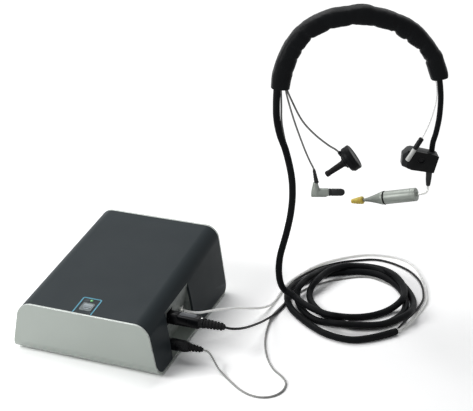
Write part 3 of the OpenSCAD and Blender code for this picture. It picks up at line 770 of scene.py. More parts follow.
@finish_recipe
def band_cloth():
    """Coated stretch cloth of the headband, with a soft sheen along its folds."""
    mix = Recipe("band_cloth", Specular_IOR_Level=0.08, Sheen_Weight=0.03, Sheen_Roughness=0.35,
                 Sheen_Tint=(0.75, 0.82, 0.86))
    tone = mix.tone(srgb(7, 8, 10), srgb(14, 16, 18), 26.0, 0.8)
    edge = mix.use(rubbed_and_highlit_edges, "Colour", Colour=tone, Worn_colour=srgb(70, 74, 76), Amount=0.4)
    mix.face(edge, (0.38, 0.52, 50.0))
    mix.bump(mix.use(cloth_face, "Height", Pebble_size=1100.0, Lines=0.8), 0.5, 0.12)
    return mix.material


# Finish of the frame pieces in view whose material slot in the record has another name.
SLOT_FINISH = {
    "silver_sheet": "silver_paint", "panel_sheet": "panel_paint", "brass_pillars": "brass",
    "lamp": "lamp_green", "black_cable": "black_lead", "grey_cable": "grey_lead",
    "clear_tube": "clear_tubing", "black_gloss": "black_satin",
}

# ---------------------------------------------------------------- settings


def length(name, description, default, low, high):
    return FloatProperty(name=name, description=description, default=default, min=low, max=high,
                         unit="LENGTH")


def colour(name, description, *default):
    return FloatVectorProperty(name=name, description=description, subtype="COLOR", size=3,
                               default=srgb(*default), min=0, max=1)


class UnitSettings(bpy.types.PropertyGroup):
    """Sizes of the base unit's pieces."""

    edge_round: length("Top edge rounding",
                       "How far the long top edges are rounded back along each face",
                       0.0134, 0.008, 0.018)
    cover_wall: length("Cover wall", "Wall of the dark cover", 0.0025, 0.001, 0.004)
    sheet_wall: length("Sheet thickness", "Thickness of the folded silver sheet",
                       0.0025, 0.001, 0.004)
    print_width: length("Outline width", "Width of the printed line round the key",
                        0.0013, 0.0004, 0.002)


class CordSettings(bpy.types.PropertyGroup):
    """Diameters of the cords."""

    main: length("Main cable", "Diameter of the braided main cable", 0.0072, 0.004, 0.009)
    probe: length("Probe lead", "Diameter of the black probe lead", 0.0026, 0.002, 0.0035)
    phone: length("Phone lead", "Diameter of the grey phone leads", 0.0020, 0.0016, 0.003)
    air: length("Air tube", "Diameter of the air tube", 0.0026, 0.002, 0.0045)


class HeadbandSettings(bpy.types.PropertyGroup):
    """How the headband's padding is made."""

    swell: length("Swell", "Furthest that the padding may move while it is blown up",
                  0.003, 0.001, 0.006)
    steps: IntProperty(
        name="Steps", description="Steps of the cloth simulation", default=20, min=5, max=40)
    crease: length("Crease depth", "Depth of the folds across the inner side",
                   0.0022, 0.0, 0.004)


class ColourSettings(bpy.types.PropertyGroup):
    """Colours that a user would change."""

    cover: colour("Cover", "Paint of the cover", 50, 56, 59)
    sheet: colour("Sheet", "Paint of the folded sheet", 168, 175, 169)
    outline: colour("Key outline", "Ink of the line round the key", 66, 150, 176)
    tip: colour("Ear tip", "Rubber of the ear tip", 238, 210, 96)


# ---------------------------------------------------------------- stage and frame


def in_view(net):
    """1 for the rays that show a surface to the camera, straight, mirrored or through glass."""
    path = net.add("LightPath").outputs
    straight_or_mirrored = net.math("MAXIMUM", path["Is Camera Ray"], path["Is Glossy Ray"])
    return net.math("MAXIMUM", straight_or_mirrored, path["Is Transmission Ray"])


class TYMP_OT_stage(bpy.types.Operator):
    """Sets up the pale floor, the soft lamps and the camera"""

    bl_idname = "tymp.stage"
    bl_label = "Stage"

    def execute(self, context):
        self.add_camera(context)
        self.add_floor()
        self.add_world(context)
        for name, place, aim, size, power in (
            ("overhead", (-0.6, 0.6, 1.5), (0.05, 0.05, 0.0), 1.2, 16.0),
            ("front_left", (-0.62, -0.60, 0.62), (0.05, 0.0, 0.1), 0.5, 7.0),
        ):
            bpy.ops.object.select_all(action="DESELECT")
            bpy.ops.object.light_add(type="AREA", location=place)
            lamp = context.object
            lamp.name = name
            lamp.data.shape = "SQUARE"
            lamp.data.size = size
            lamp.data.energy = power
            way = Vector(aim) - Vector(place)
            lamp.rotation_euler = way.to_track_quat("-Z", "Y").to_euler()
        return {"FINISHED"}

    def add_camera(self, context):
        """The camera as fitted to the base unit's edges in the photograph."""
        bpy.ops.object.select_all(action="DESELECT")
        bpy.ops.object.camera_add(
            location=(0.454, -0.900, 0.5935),
            rotation=(math.radians(65.26), 0, math.radians(20.11)),
        )
        camera = context.object
        camera.name = "camera"
        camera.data.lens = 83.72
        camera.data.sensor_width = 36
        camera.data.clip_start = 0.05
        camera.data.clip_end = 50
        context.scene.camera = camera

    def add_floor(self):
        """A floor that takes shadows near the object and goes over into white further out."""
        floor = settle(begin("grid", size=12, x_subdivisions=8, y_subdivisions=8))
        floor.name = "floor"
        mix = Recipe("floor_white", Roughness=0.6, Specular_IOR_Level=0.15)
        tone = mix.tone((0.70, 0.70, 0.70), (0.69, 0.69, 0.69), 3.0, 0.5)
        away = mix.add("VectorMath", operation="DISTANCE")
        mix.fill(away.inputs[0], mix.place())
        mix.fill(away.inputs[1], (0.1, 0.05, 0))
        far = mix.spread(away.outputs["Value"], 0.3, 0.9, interpolation_type="SMOOTHSTEP")
        near = mix.math("MULTIPLY", mix.math("SUBTRACT", 1.0, far), 1.5)
        seen = in_view(mix)
        mix.put(mix.shader, Base_Color=mix.blend(seen, tone, near), Emission_Color=(1, 1, 1),
                Emission_Strength=mix.math("MULTIPLY", far, seen))
        floor.data.materials.append(mix.material)

    def add_world(self, context):
        """White where it is in view, and a weak cool fill for all other rays."""
        world = bpy.data.worlds.new("studio")
        context.scene.world = world
        world.use_nodes = True
        world.node_tree.nodes.clear()
        net = Nodes(world.node_tree)
        choice = net.add("MixShader")
        fill = net.add("Background", Color=(0.97, 0.985, 1), Strength=0.18)
        white = net.add("Background", Color=(1, 1, 1), Strength=1.0)
        for socket, value in zip(choice.inputs, (in_view(net), fill.outputs[0], white.outputs[0])):
            net.fill(socket, value)
        net.add("OutputWorld", Surface=choice.outputs[0])


class TYMP_OT_frame_paint(bpy.types.Operator):
    """Paints the frame's pieces that stay in view"""

    bl_idname = "tymp.frame_paint"
    bl_label = "Frame finishes"

    def execute(self, context):
        slots = {part["node"]: part["material_slot"] for part in frame["record"]["subparts"]}
        for node, obj in frame["nodes"].items():
            obj.data.materials.clear()
            paint = SLOT_FINISH.get(slots[node], slots[node])
            obj.data.materials.append(FINISHES[paint]())
        return {"FINISHED"}


# ---------------------------------------------------------------- base unit


class TYMP_OT_cover(bpy.types.Operator):
    """Folds the dark cover over the unit and cuts its recess and key opening"""

    bl_idname = "tymp.cover"
    bl_label = "Cover"

    def execute(self, context):
        sizes = context.scene.tymp_unit
        y1 = HALF_D - 2.5
        obj = block(-COVER_HALF, COVER_HALF, -y1, y1, 2.5, top_height(-y1))
        with Shaping(obj) as edit:
            edit.pick("VERT", lambda v: v.co.z > 0.02)
            bpy.ops.transform.resize(value=(TOP_HALF / COVER_HALF, 1, 1),
                                     center_override=(0, 0, 0))
            edit.pick("VERT", lambda v: v.co.z > 0.02 and v.co.y > 0)
            rise = top_height(y1) - top_height(-y1)
            bpy.ops.transform.translate(value=(0, 0, rise * MM))
            edit.bevel(lambda e: runs(e, 1) and middle(e).z > 20, sizes.edge_round / MM, 16)
            for side, width, segments in ((-1, 11.5, 12), (1, 8.5, 10)):
                edit.bevel(lambda e: runs(e, 0) and middle(e).z < 5 and middle(e).y * side > 0,
                           width, segments)
            edit.pick("FACE", lambda f: abs(f.normal.x) < 0.5 and f.normal.z < 0.5)
            bpy.ops.mesh.delete(type="FACE")
        thicken(obj, sizes.cover_wall / MM, -1)
        # The recess is drawn in (-y, z), then turned to face the unit's right side.
        recess = carved([(60, -5), (-3, -5), (-3, 54.7), (54, 50.5)], 50, 100)
        cut(obj, placed(recess, turn(-90, "Z")))
        key = FEET.inverted() @ on_top(KEY_Y)
        cut(obj, placed(block(-6.8, 6.8, -6.55, 6.55, -8, 8, (2, 2, 6)), key))
        cut(obj, turned([(-8, 1.6), (8, 1.6)], 24, key @ LAMP))
        soften(obj, 0.35, 2, 40)
        with Shaping(obj) as edit:
            # Lines across the flats keep their shading even round the openings.
            lines = ((-9.5, 9.5, -40, 40), (-64, -30, 10, 58), (20, 46))
            for way, places in zip(Matrix.Identity(3), lines):
                for place in places:
                    edit.split(way * place * MM, way)
        finish(obj, "cover", "cover_paint", place=FEET, nodes="top_cover")
        even_shading(obj)
        return {"FINISHED"}


class TYMP_OT_sheet(bpy.types.Operator):
    """Folds the silver sheet up at the front and the rear"""

    bl_idname = "tymp.sheet"
    bl_label = "Silver sheet"

    def execute(self, context):
        obj = flat(2 * SHEET_HALF, 2 * HALF_D)
        with Shaping(obj) as edit:
            for side, height, bend, steps in ((-1, FRONT_H, 14, 14), (1, REAR_H, 11, 12)):
                def fold(e):
                    return runs(e, 0) and middle(e).y * side > 90 and abs(middle(e).z) < 0.1

                edit.pick("EDGE", fold)
                edit.extrude(height)
                bpy.ops.transform.resize(value=(TOP_HALF / SHEET_HALF, 1, 1),
                                         center_override=(0, 0, 0))
                edit.bevel(lambda v: middle(v).z > height - 0.5 and middle(v).y * side > 90,
                           13.2, 14, "VERT")
                edit.bevel(fold, bend, steps)
            edit.outward()
        if sum(f.normal.z * f.area for f in obj.data.polygons) < 0:
            with Shaping(obj) as edit:
                edit.all()
                bpy.ops.mesh.flip_normals()
        thicken(obj, context.scene.tymp_unit.sheet_wall / MM, 1)
        with Shaping(obj) as edit:
            edit.outward()
        cut(obj, block(-26.2, -13.8, 85, 100, 17.5, 28.5))
        cut(obj, turned([(0, 4.2), (14, 4.2)], 32, move(20, 86, 23) @ turn(-90, "X")))
        for x in (-SCREW_X, SCREW_X):
            for y in (-CORNER_Y, CORNER_Y):
                cut(obj, turned([(-2, 3), (1.5, 3), (1.5, 1.6), (4, 1.6)], 24, move(x, y, 0)))
        soften(obj, 0.45, 3, 40)
        finish(obj, "silver_sheet", "silver_paint", "silver_sheet", FEET, "base_tray")
        # The rim faces take the brighter edge finish, which paints the highlight along the top of
        # the folds.
        obj.data.materials.append(FINISHES["cut_edge"]())
        for face in obj.data.polygons:
            c = face.center / MM
            if abs(face.normal.y) < 0.75 and c.z > 3 and abs(c.y) > HALF_D - 2.8:
                face.material_index = 1
        even_shading(obj)
        return {"FINISHED"}


class TYMP_OT_key(bpy.types.Operator):
    """Makes the start key with its print, the line round it and the lamp's lens"""

    bl_idname = "tymp.key"
    bl_label = "Start key"

    def execute(self, context):
        place = on_top(KEY_Y)
        line = flat(20.6, 26.5, -0.4, 1.45, 0.02)
        with Shaping(line) as edit:
            edit.bevel(lambda v: v.co.y > 0, 2.2, 8, "VERT")
            edit.all()
            bpy.ops.mesh.select_mode(type="FACE")
            bpy.ops.mesh.inset(thickness=context.scene.tymp_unit.print_width, depth=0)
            bpy.ops.mesh.delete(type="FACE")
            # The line is left open on its near side.
            edit.pick("FACE", lambda f: middle(f).y < -10.0 and abs(middle(f).x + 0.4) < 6)
            bpy.ops.mesh.delete(type="FACE")
            edit.all()
            edit.extrude(0.08)
            edit.outward()
        finish(line, "key_outline", "outline_ink", "cover_paint", place)

        cap = block(-6.5, 6.5, -6.25, 6.25, -2.8, 0.4, (2, 2, 6))
        with Shaping(cap) as edit:
            edit.inset(lambda f: f.normal.z > 0.9, (1.2, 0), (0.8, -0.18))
        flange = block(-7.8, 7.8, -7.55, 7.55, -3.8, -2.8)
        cap = fuse(cap, flange, turned([(-6.6, 2.2), (-6.3, 2.5), (-3.8, 2.5)], 24))
        soften(cap, 0.25, 2, 40)
        finish(cap, "key_cap", "key_face", place=place, nodes="start_key", body="key")

        bars = [block(-half, half, y0, y1, 0.2, 0.34, (2, 0.4, 3))
                for y0, y1, half in ((1.2, 4.4, 4.6), (-0.6, 0.5, 4.6), (-3.4, -2.4, 3.2))]
        finish(fuse(*bars), "key_print", "pale_ink", "key_face", place, body="key")

        lens = turned([(-0.4, 1.5), (0.25, 1.5), (0.55, 1.3), (0.75, 0.9), (0.85, 0.4)], 32, LAMP)
        finish(lens, "lamp_lens", "lamp_green", "lamp", place, smooth=60)
        return {"FINISHED"}


class TYMP_OT_underside(bpy.types.Operator):
    """Makes the rubber feet and the cover's screws"""

    bl_idname = "tymp.underside"
    bl_label = "Feet and screws"

    def execute(self, context):
        foot = turned([(0, 5.2), (0.3, 5.7), (1.5, 6.0)], 40)
        with Shaping(foot) as edit:
            edit.inset(lambda f: f.normal.z < -0.9, (1.2, 0), (0.6, -0.3))
        screw = turned([(0.1, 2.4), (0.35, 2.8), (1.5, 2.8), (1.5, 1.4), (9.9, 1.4)], 32)
        with Shaping(screw) as edit:
            edit.inset(lambda f: f.normal.z < -0.9, (1.4, 0))
            edit.extrude(0.8)
        for model, spread, facts in (
            (foot, FOOT_X, ("feet", "black_rubber", None, None, "rubber_feet")),
            (screw, SCREW_X, ("screws", "bright_metal", None, FEET, "cover_screws")),
        ):
            copies = []
            for sx, sy in ((-1, -1), (-1, 1), (1, -1), (1, 1)):
                copy = bpy.data.objects.new(model.name, model.data.copy())
                context.collection.objects.link(copy)
                copies.append(placed(copy, move(sx * spread, sy * CORNER_Y, 0)))
            bpy.data.objects.remove(model, do_unlink=True)
            finish(fuse(*copies), *facts)
        return {"FINISHED"}


# ---------------------------------------------------------------- plugs


def slotted_boot(z0, z1, r0, r1, rows, proud, place=None):
    """A strain relief with staggered half rings round a tapered core, along +Z."""
    profile = [(z0, r0 * 0.96), (z0 + 0.4, r0)]
    pitch = (z1 - z0 - 1.2) / rows
    ring_part = 0.45
    for row in range(rows):
        for part in (ring_part, 1.0):
            z = z0 + 0.4 + pitch * (row + part)
            profile.append((z, r0 + (r1 - r0) * (z - z0) / (z1 - z0)))
    profile += [(z1 - 0.3, r1), (z1, r1 * 0.85)]
    boot = turned(profile, 32)
    with Shaping(boot) as edit:
        for row in range(rows):
            low = z0 + 0.4 + pitch * row
            high = low + pitch * ring_part
            shift = 90 if row % 2 else 0

            def raised(face):
                c = middle(face)
                if not low - 0.01 < c.z < high + 0.01 or abs(face.normal.z) > 0.7:
                    return False
                return 14 < (math.degrees(math.atan2(c.y, c.x)) + shift) % 180 < 166

            edit.pick("FACE", raised)
            edit.swell(proud)
        edit.outward()
    return boot if place is None else placed(boot, place)


class TYMP_OT_probe_plug(bpy.types.Operator):
    """Makes the flat upper plug with its top plate, collar and boot; the plate's lighter grey is
    painted highlight
    """

    bl_idname = "tymp.probe_plug"
    bl_label = "Probe plug"

    def execute(self, context):
        # Along +Z is the plug's length; -X is up, Y is across.
        place = along_x(0, -40, 38)
        body = block(-6, 6, -5, 5, 78, 101, (2, 2.8, 6))
        with Shaping(body) as edit:
            edit.inset(lambda f: f.normal.z > 0.9, (0.8, 0.8))
            edit.inset(lambda f: abs(f.normal.y) > 0.95, (1.2, -0.4))
        shell = block(-6.2, 6.2, -5.4, 5.4, 68, 78.4, (2, 3, 6))
        nose = block(-5, 5, -4, 4, 62, 68.2)
        collar = turned([(101, 5.2), (101.4, 5.5), (103, 5.5), (103.4, 5.1), (104.2, 5.1),
                         (104.6, 5.5), (105.5, 5.4)], 40)
        body = fuse(body, shell, nose, collar)
        soften(body, 0.3, 2, 50)
        finish(body, "probe_plug_body", "black_satin", "black_plastic", place, "probe_plug")

        # The top plate's lighter grey paints the highlight along the plug's top.
        plate = block(-6.25, -5.7, -3.1, 3.1, 80, 97.5, (0, 2.4, 6))
        with Shaping(plate) as edit:
            edit.inset(lambda f: f.normal.x < -0.9, (0.5, 0), (0.4, -0.12))
        soften(plate, 0.12, 2, 50)
        finish(plate, "probe_plug_plate", "plug_plate", "black_plastic", place)

        mark = turned([(0, 0.9), (0.35, 0.9), (0.5, 0.6)], 20,
                      move(-5.2, 0, 103.4) @ turn(-90, "Y"))
        finish(mark, "probe_plug_mark", "bright_metal", place=place)
        finish(slotted_boot(105.5, 127, 4.1, 3.0, 6, 0.85), "probe_boot", "black_rubber",
               place=place, nodes="probe_plug_boot")
        return {"FINISHED"}


class TYMP_OT_phone_plug(bpy.types.Operator):
    """Makes the round lower plug with its grip ribs and boot"""

    bl_idname = "tymp.phone_plug"
    bl_label = "Phone plug"

    def execute(self, context):
        place = along_x(0, -50, 14)
        body = turned([(64.5, 5.0), (65.0, 5.6), (66, 5.75), (72, 5.75), (72.6, 5.3), (73.4, 5.3),
                       (74, 5.75), (90, 5.6), (92.5, 5.2), (94, 4.4)])

        def rib(face):
            """Every third of the grip's 48 sides."""
            c = middle(face)
            side = int((math.degrees(math.atan2(c.y, c.x)) + 360) / 7.5)
            return 74.1 < c.z < 90 and abs(face.normal.z) < 0.5 and side % 3 == 0

        with Shaping(body) as edit:
            edit.inset(rib, (0.12, 0))
            edit.swell(0.3)
            edit.outward()
        pin = turned([(53, 1.0), (54, 1.7), (56, 1.7), (56.3, 1.4), (57, 1.4), (57.3, 1.7),
                      (65, 1.7)], 24)
        body = fuse(body, pin)
        soften(body, 0.2, 2, 55)
        finish(body, "phone_plug_body", "black_satin", "black_plastic", place, "phone_plug")
        finish(slotted_boot(94, 108, 3.4, 2.0, 4, 0.8), "phone_boot", "black_rubber",
               place=place, nodes="phone_plug_boot")
        return {"FINISHED"}


# ---------------------------------------------------------------- leads on the table

# Routes in mm, read from the photograph through the fitted camera.
PROBE_LEAD = [
    (127, -40, 39.4), (133.5, -38, 38), (138.6, -28.7, 34), (140.9, -14.5, 28), (141.6, 4.5, 20),
    (142.5, 26.9, 11.5), (144, 48.8, 5), (146.1, 66.1, 1.6), (147.8, 77.5, 1.4), (147.6, 90, 1.4),
    (145, 103.5, 1.4), (141.6, 117.3, 1.4), (141.2, 131.1, 1.4), (144.4, 146, 1.4),
    (150.2, 161.3, 1.4), (158.6, 177.3, 1.4), (169.3, 190.7, 1.4), (181.9, 202.7, 1.4),
    (195.5, 211.5, 1.4), (209.5, 219, 1.4), (222.2, 221.3, 1.4), (238.7, 217.6, 1.4),
    (257.3, 206.8, 1.8), (272, 188.6, 3), (279.7, 172.7, 3.3), (284, 158.4, 3.3),
    (286.6, 143.7, 3.3), (285.6, 125.5, 3.3), (282.4, 109.5, 3.3), (279.2, 97.3, 3.4),
    (277, 86.5, 3.8), (275, 74, 4.4),
]
PHONE_LEAD = [
    (108, -50, 15.5), (114, -50.5, 14.5), (120, -54, 10), (127, -59, 4.5), (136, -65, 1.5),
    (146, -73, 1), (157, -81, 1), (168, -86, 1), (180, -86.5, 1), (190, -81, 1), (196, -70, 1),
    (195, -56, 1), (187, -46, 1), (177, -38, 1), (166, -23, 1), (156, -2, 1), (149, 20, 1),
    (145, 42, 1.2), (143.2, 56, 1.6), (144.6, 72, 1), (147.6, 90, 1), (152.7, 107.9, 1),
    (159.2, 126.6, 1), (167.1, 138.7, 1), (179.4, 153.6, 1), (189.2, 161.6, 1), (198.8, 168.9, 1),
    (211, 175.6, 1), (222.1, 177.2, 1), (232, 174.3, 1), (242.2, 169.6, 1), (251.5, 163.7, 1),
    (260.1, 155.3, 1), (267.6, 143.7, 1), (272.9, 130.6, 1), (276, 118.1, 1), (277.2, 104.1, 1),
    (276.5, 90.1, 1.4), (274.6, 73, 3),
]
AIR_TUBE = [
    (72, -10, 30.5), (80, -10, 30.5), (88, -8, 30.5), (96.5, -1.5, 30.5), (105.7, 8.2, 29),
    (116.2, 24.1, 24), (124.7, 40.3, 16.5), (130.5, 58.3, 8.5), (134.4, 75, 3), (136, 89, 1.6),
    (136.3, 102, 1.6), (136.2, 116, 1.6), (137.2, 130, 1.6),
    (140.9, 145.5, 1.6), (146.6, 162.2, 1.6), (154, 179.5, 1.6), (163.1, 193.9, 1.6),
    (175.2, 207.8, 1.6), (188.1, 219.4, 1.6), (201.9, 228.4, 1.6), (215.1, 232.6, 1.6),
    (237.2, 233.8, 1.6), (253.5, 226.4, 1.6), (266.1, 211.6, 1.6), (279, 186.4, 1.6),
    (285.8, 165.6, 1.6), (289.8, 145.8, 1.6), (289.2, 129, 1.6), (286.4, 111.9, 1.6),
    (282.2, 94.5, 1.6), (279, 84, 2.4), (275.4, 72, 3.6),
]
MAIN_CABLE_FLOOR = [
    (274, 69, 3.6), (266, 60, 3.6), (256.6, 50.8, 3.6), (246.9, 43.1, 3.6), (236.7, 37.6, 3.6),
    (225.6, 36, 3.6), (214.7, 37.3, 3.6), (204.4, 40.4, 3.6), (193.1, 46.6, 3.6), (182.5, 54, 3.6),
    (171.4, 63.3, 3.6), (161.5, 72.7, 3.6), (154.2, 81.8, 5), (148.9, 92.6, 6.2),
    (145.8, 104.5, 6.2), (145.3, 115.7, 5.4), (147.2, 127.7, 3.6), (152.9, 139.1, 3.6),
    (159, 150.5, 3.6), (167, 159.2, 3.6), (178.4, 167.6, 3.6), (194.1, 176.5, 3.6),
    (209.4, 182.3, 3.6), (224.8, 182.6, 3.6), (238.6, 176.6, 3.6), (250.3, 167.1, 3.6),
    (259.9, 155.1, 3.6), (266.6, 142.9, 3.6), (270.1, 130.6, 3.6), (272.3, 118.7, 3.6),
    (272.1, 106.8, 3.6), (268.9, 95.8, 3.6), (263.7, 85.2, 3.6), (256.2, 76.8, 3.6),
    (245.9, 70.5, 3.6), (235.3, 65.8, 3.6), (226.9, 64.4, 3.6), (217.6, 65.3, 3.6),
    (205.9, 68.6, 3.6), (195.5, 75.8, 3.6), (185.1, 84.3, 3.6), (176.6, 94.3, 3.6),
    (169.9, 106.8, 3.6), (167.4, 116.4, 5), (168.2, 122.8, 9), (170.7, 132.8, 11),
    (173.3, 147.6, 11), (179.4, 162.5, 11.2), (191, 179.3, 9.4), (202.9, 186.8, 7.2),
    (216.1, 191.4, 5), (229.2, 190.8, 3.6), (241.5, 184.7, 3.6), (253.3, 174.6, 3.6),
    (263.8, 162.1, 3.6), (272.4, 148.2, 3.6), (278.2, 133.2, 4.5), (281.1, 114.8, 7.5),
    (280.8, 97.2, 11), (276, 87.2, 10.5), (268.2, 77.6, 9.5), (258, 67.9, 9), (247.2, 62, 9),
    (236.8, 58.9, 9), (227.5, 56.3, 9), (219.1, 54.5, 9), (209.5, 55.5, 7.5), (198.5, 60.9, 3.6),
    (189.6, 62.4, 3.6), (180.2, 67.7, 3.6), (171.3, 76.8, 3.6), (163.8, 87.9, 3.6),
    (158.1, 99.9, 3.6), (156.1, 105.8, 7), (156.4, 111.4, 11), (158.2, 125.5, 11),
    (161.8, 138.8, 11), (164.8, 160, 6.5), (170.9, 175.4, 3.6), (179.3, 183, 3.6),
    (190.4, 190.3, 3.6), (204.7, 195.8, 3.6), (218.6, 197.4, 3.6), (232.6, 192.6, 5),
    (246.1, 176.7, 10), (256.7, 162.9, 11), (264.2, 148.2, 11), (267.7, 132.5, 11),
    (266.7, 120, 10), (261, 112.9, 5.5), (253.6, 103.2, 3.6), (244.2, 92.4, 3.6),
    (232.9, 84.5, 3.6), (221.3, 78.2, 4.5), (212.5, 65.4, 11), (202.1, 64.3, 11.5),
    (190, 68.6, 11), (179, 73, 11.5), (169.1, 79.4, 11.5), (160.4, 86.4, 11.5), (154.5, 88.2, 14),
]
STEM = [
    (4.2, 14.5), (0.4, 19.5), (-2, 26.1), (-3.2, 34.2), (-3.6, 42.2), (-3.2, 50.2), (-2.2, 58.1),
    (-0.2, 67), (4.4, 87), (7.8, 107), (9.1, 128), (7.4, 150), (1.4, 176), (-5, 194),
    (-8.4, 211), (-9, 228), (-8.6, 244),
]


class TYMP_OT_table_leads(bpy.types.Operator):
    """Lays the probe lead, the phone lead and the air tube from the unit to the sheath"""

    bl_idname = "tymp.table_leads"
    bl_label = "Leads on the table"

    def execute(self, context):
        sizes = context.scene.tymp_cords
        for name, route, size, paint, slot, nodes, length, stiffness in (
            ("probe_lead_black", PROBE_LEAD, sizes.probe, "black_lead", "black_cable",
             "probe_cable", 0.50, "medium"),
            ("phone_lead_grey", PHONE_LEAD, sizes.phone, "grey_lead", "grey_cable",
             "phone_cable", 0.54, "limp"),
            ("air_tube_clear", AIR_TUBE, sizes.air, "clear_tubing", "clear_tube",
             "air_tube", 0.52, "medium"),
        ):
            lay_cord(name, route, size / MM, paint, slot, nodes, length, far_end="object",
                     stiffness=stiffness, lay="loose")
        return {"FINISHED"}


class TYMP_OT_main_cable(bpy.types.Operator):
    """Lays the braided main cable in its turns and takes it up to the headband"""

    bl_idname = "tymp.main_cable"
    bl_label = "Main cable"

    def execute(self, context):
        route = MAIN_CABLE_FLOOR + [hs(s, 0, z) for s, z in STEM]
        lay_cord("main_cable", route[::-1], context.scene.tymp_cords.main / MM, "braid", "braid",
                 "cable_sleeve cable_coil", 1.555, far_end="bare", stiffness="medium", lay="loose")
        return {"FINISHED"}


# Routes in the headset's plane: (s, d, z), as hs takes them.
HOLDER_CABLE = [
    (150.6, 0, 254.6), (152.6, 0, 243), (153.9, 0, 230), (153.8, 0, 212), (151.8, 0, 196),
    (149.4, 0, 185), (149, 0, 172),
]
ELBOW_LEAD = [
    (-0.6, -2, 246), (1.6, -2, 234), (8.9, -1.5, 209.5), (18.6, -1, 182.6), (25, 0, 167),
    (30.3, 0, 156.1), (31.4, 0, 150),
]
DISC_LEAD = [
    (-0.6, 2, 246), (4.5, 2, 233), (16.4, 1.5, 209.5), (29.3, 1, 194.5), (43.8, 0.5, 182.6),
    (52, 0, 177.5), (59.5, 0, 170.5),
]
SIDE_LEAD = [(-4.8, 0, 246), (-4.0, 0, 226), (-3.4, 0, 208), (-0.2, 0, 190), (4.4, 0, 171)]
AIR_LEAD = [
    (146.4, -1.5, 254), (148.4, -3.8, 244), (148.5, -5.4, 232), (145, -8, 216),
    (139.6, -11, 202), (135.8, -13.25, 195.4),
]
PROBE_PIPE = [
    (148, 0, 138.5), (148, -0.4, 134.2), (146.6, -1.6, 131.4), (143.4, -2.2, 130),
    (140.2, -1.2, 129.1), (136.4, 0, 128),
]


class TYMP_OT_headset_cords(bpy.types.Operator):
    """Hangs the thin cords of the headset"""

    bl_idname = "tymp.headset_cords"
    bl_label = "Headset cords"

    def execute(self, context):
        sizes = context.scene.tymp_cords
        thin = sizes.phone / MM
        for name, route, size, paint, slot, nodes, length in (
            ("holder_cable", HOLDER_CABLE, sizes.main / MM - 1.4, "braid", "braid",
             "probe_sleeve", 0.08),
            ("elbow_phone_lead", ELBOW_LEAD, thin, "hanging_lead", "grey_cable",
             "elbow_cable", 0.10),
            ("disc_phone_lead", DISC_LEAD, thin, "hanging_lead", "grey_cable", "disc_cable", 0.10),
            ("side_lead", SIDE_LEAD, thin, "hanging_lead", "grey_cable", "side_cable", 0.075),
            ("air_lead_thin", AIR_LEAD, 1.2, "clear_tubing", "clear_tube", "air_lead", 0.063),
        ):
            lay_cord(name, [hs(*p) for p in route], size, paint, slot, nodes, length,
                     far_end="object", stiffness="medium", lay="hanging")
        pipe, _ = tube([hs(*p) for p in PROBE_PIPE], 2.4, 14, 0.8)
        finish(pipe, "probe_pipe", "bright_metal", nodes="probe_lead", smooth=60)
        return {"FINISHED"}


# ---------------------------------------------------------------- headband

# Inner and outer radius of the padding at each angle, from its right end over the top.
BAND_EDGES = [
    (11, 71.3, 89.9), (14, 70.3, 90.5), (20, 70.0, 89.9), (23, 70.1, 89.8), (26, 70.4, 90.8),
    (30, 70.4, 89.2), (36, 70.1, 88.8), (41, 69.6, 88.7), (46, 67.9, 88.9), (50, 67.6, 88.9),
    (56, 66.6, 88.5), (60, 67.1, 88.0), (66, 68.0, 87.1), (72, 67.0, 86.9), (79, 67.3, 86.9),
    (83, 67.4, 87.3), (86, 67.2, 88.7), (91, 67.6, 88.8), (94, 67.8, 88.0), (98, 68.4, 87.9),
    (103, 68.1, 88.3), (108, 68.8, 89.2), (114, 69.9, 89.9), (120, 69.9, 90.3), (127, 70.7, 90.8),
    (133, 71.0, 91.0), (141, 69.6, 90.4), (147, 68.7, 90.0), (150, 68.4, 89.3), (156, 67.3, 89.0),
    (162, 66.8, 88.3), (170, 66.6, 88.2), (174, 66.7, 87.8), (176.4, 67.0, 87.7),
]
# Folds across the inner side: angle, half width in degrees, depth as a part of the full one.
BAND_FOLDS = [
    (28, 1.4, 0.7), (39, 1.4, 0.75), (52, 1.3, 0.85), (64, 1.5, 0.85), (81, 1.6, 0.35),
    (98, 1.6, 0.3), (115, 1.6, 0.4), (131, 1.6, 0.8), (143, 1.5, 0.5), (151, 1.5, 0.35),
    (163, 2.0, 0.3),
]


def band_edge(angle, column):
    """The padding's inner (column 1) or outer (column 2) radius at an angle."""
    rows = BAND_EDGES
    if angle <= rows[0][0]:
        return rows[0][column]
    for low, high in zip(rows, rows[1:]):
        if angle <= high[0]:
            part = (angle - low[0]) / (high[0] - low[0])
            part = part * part * (3 - 2 * part)
            return low[column] + (high[column] - low[column]) * part
    return rows[-1][column]



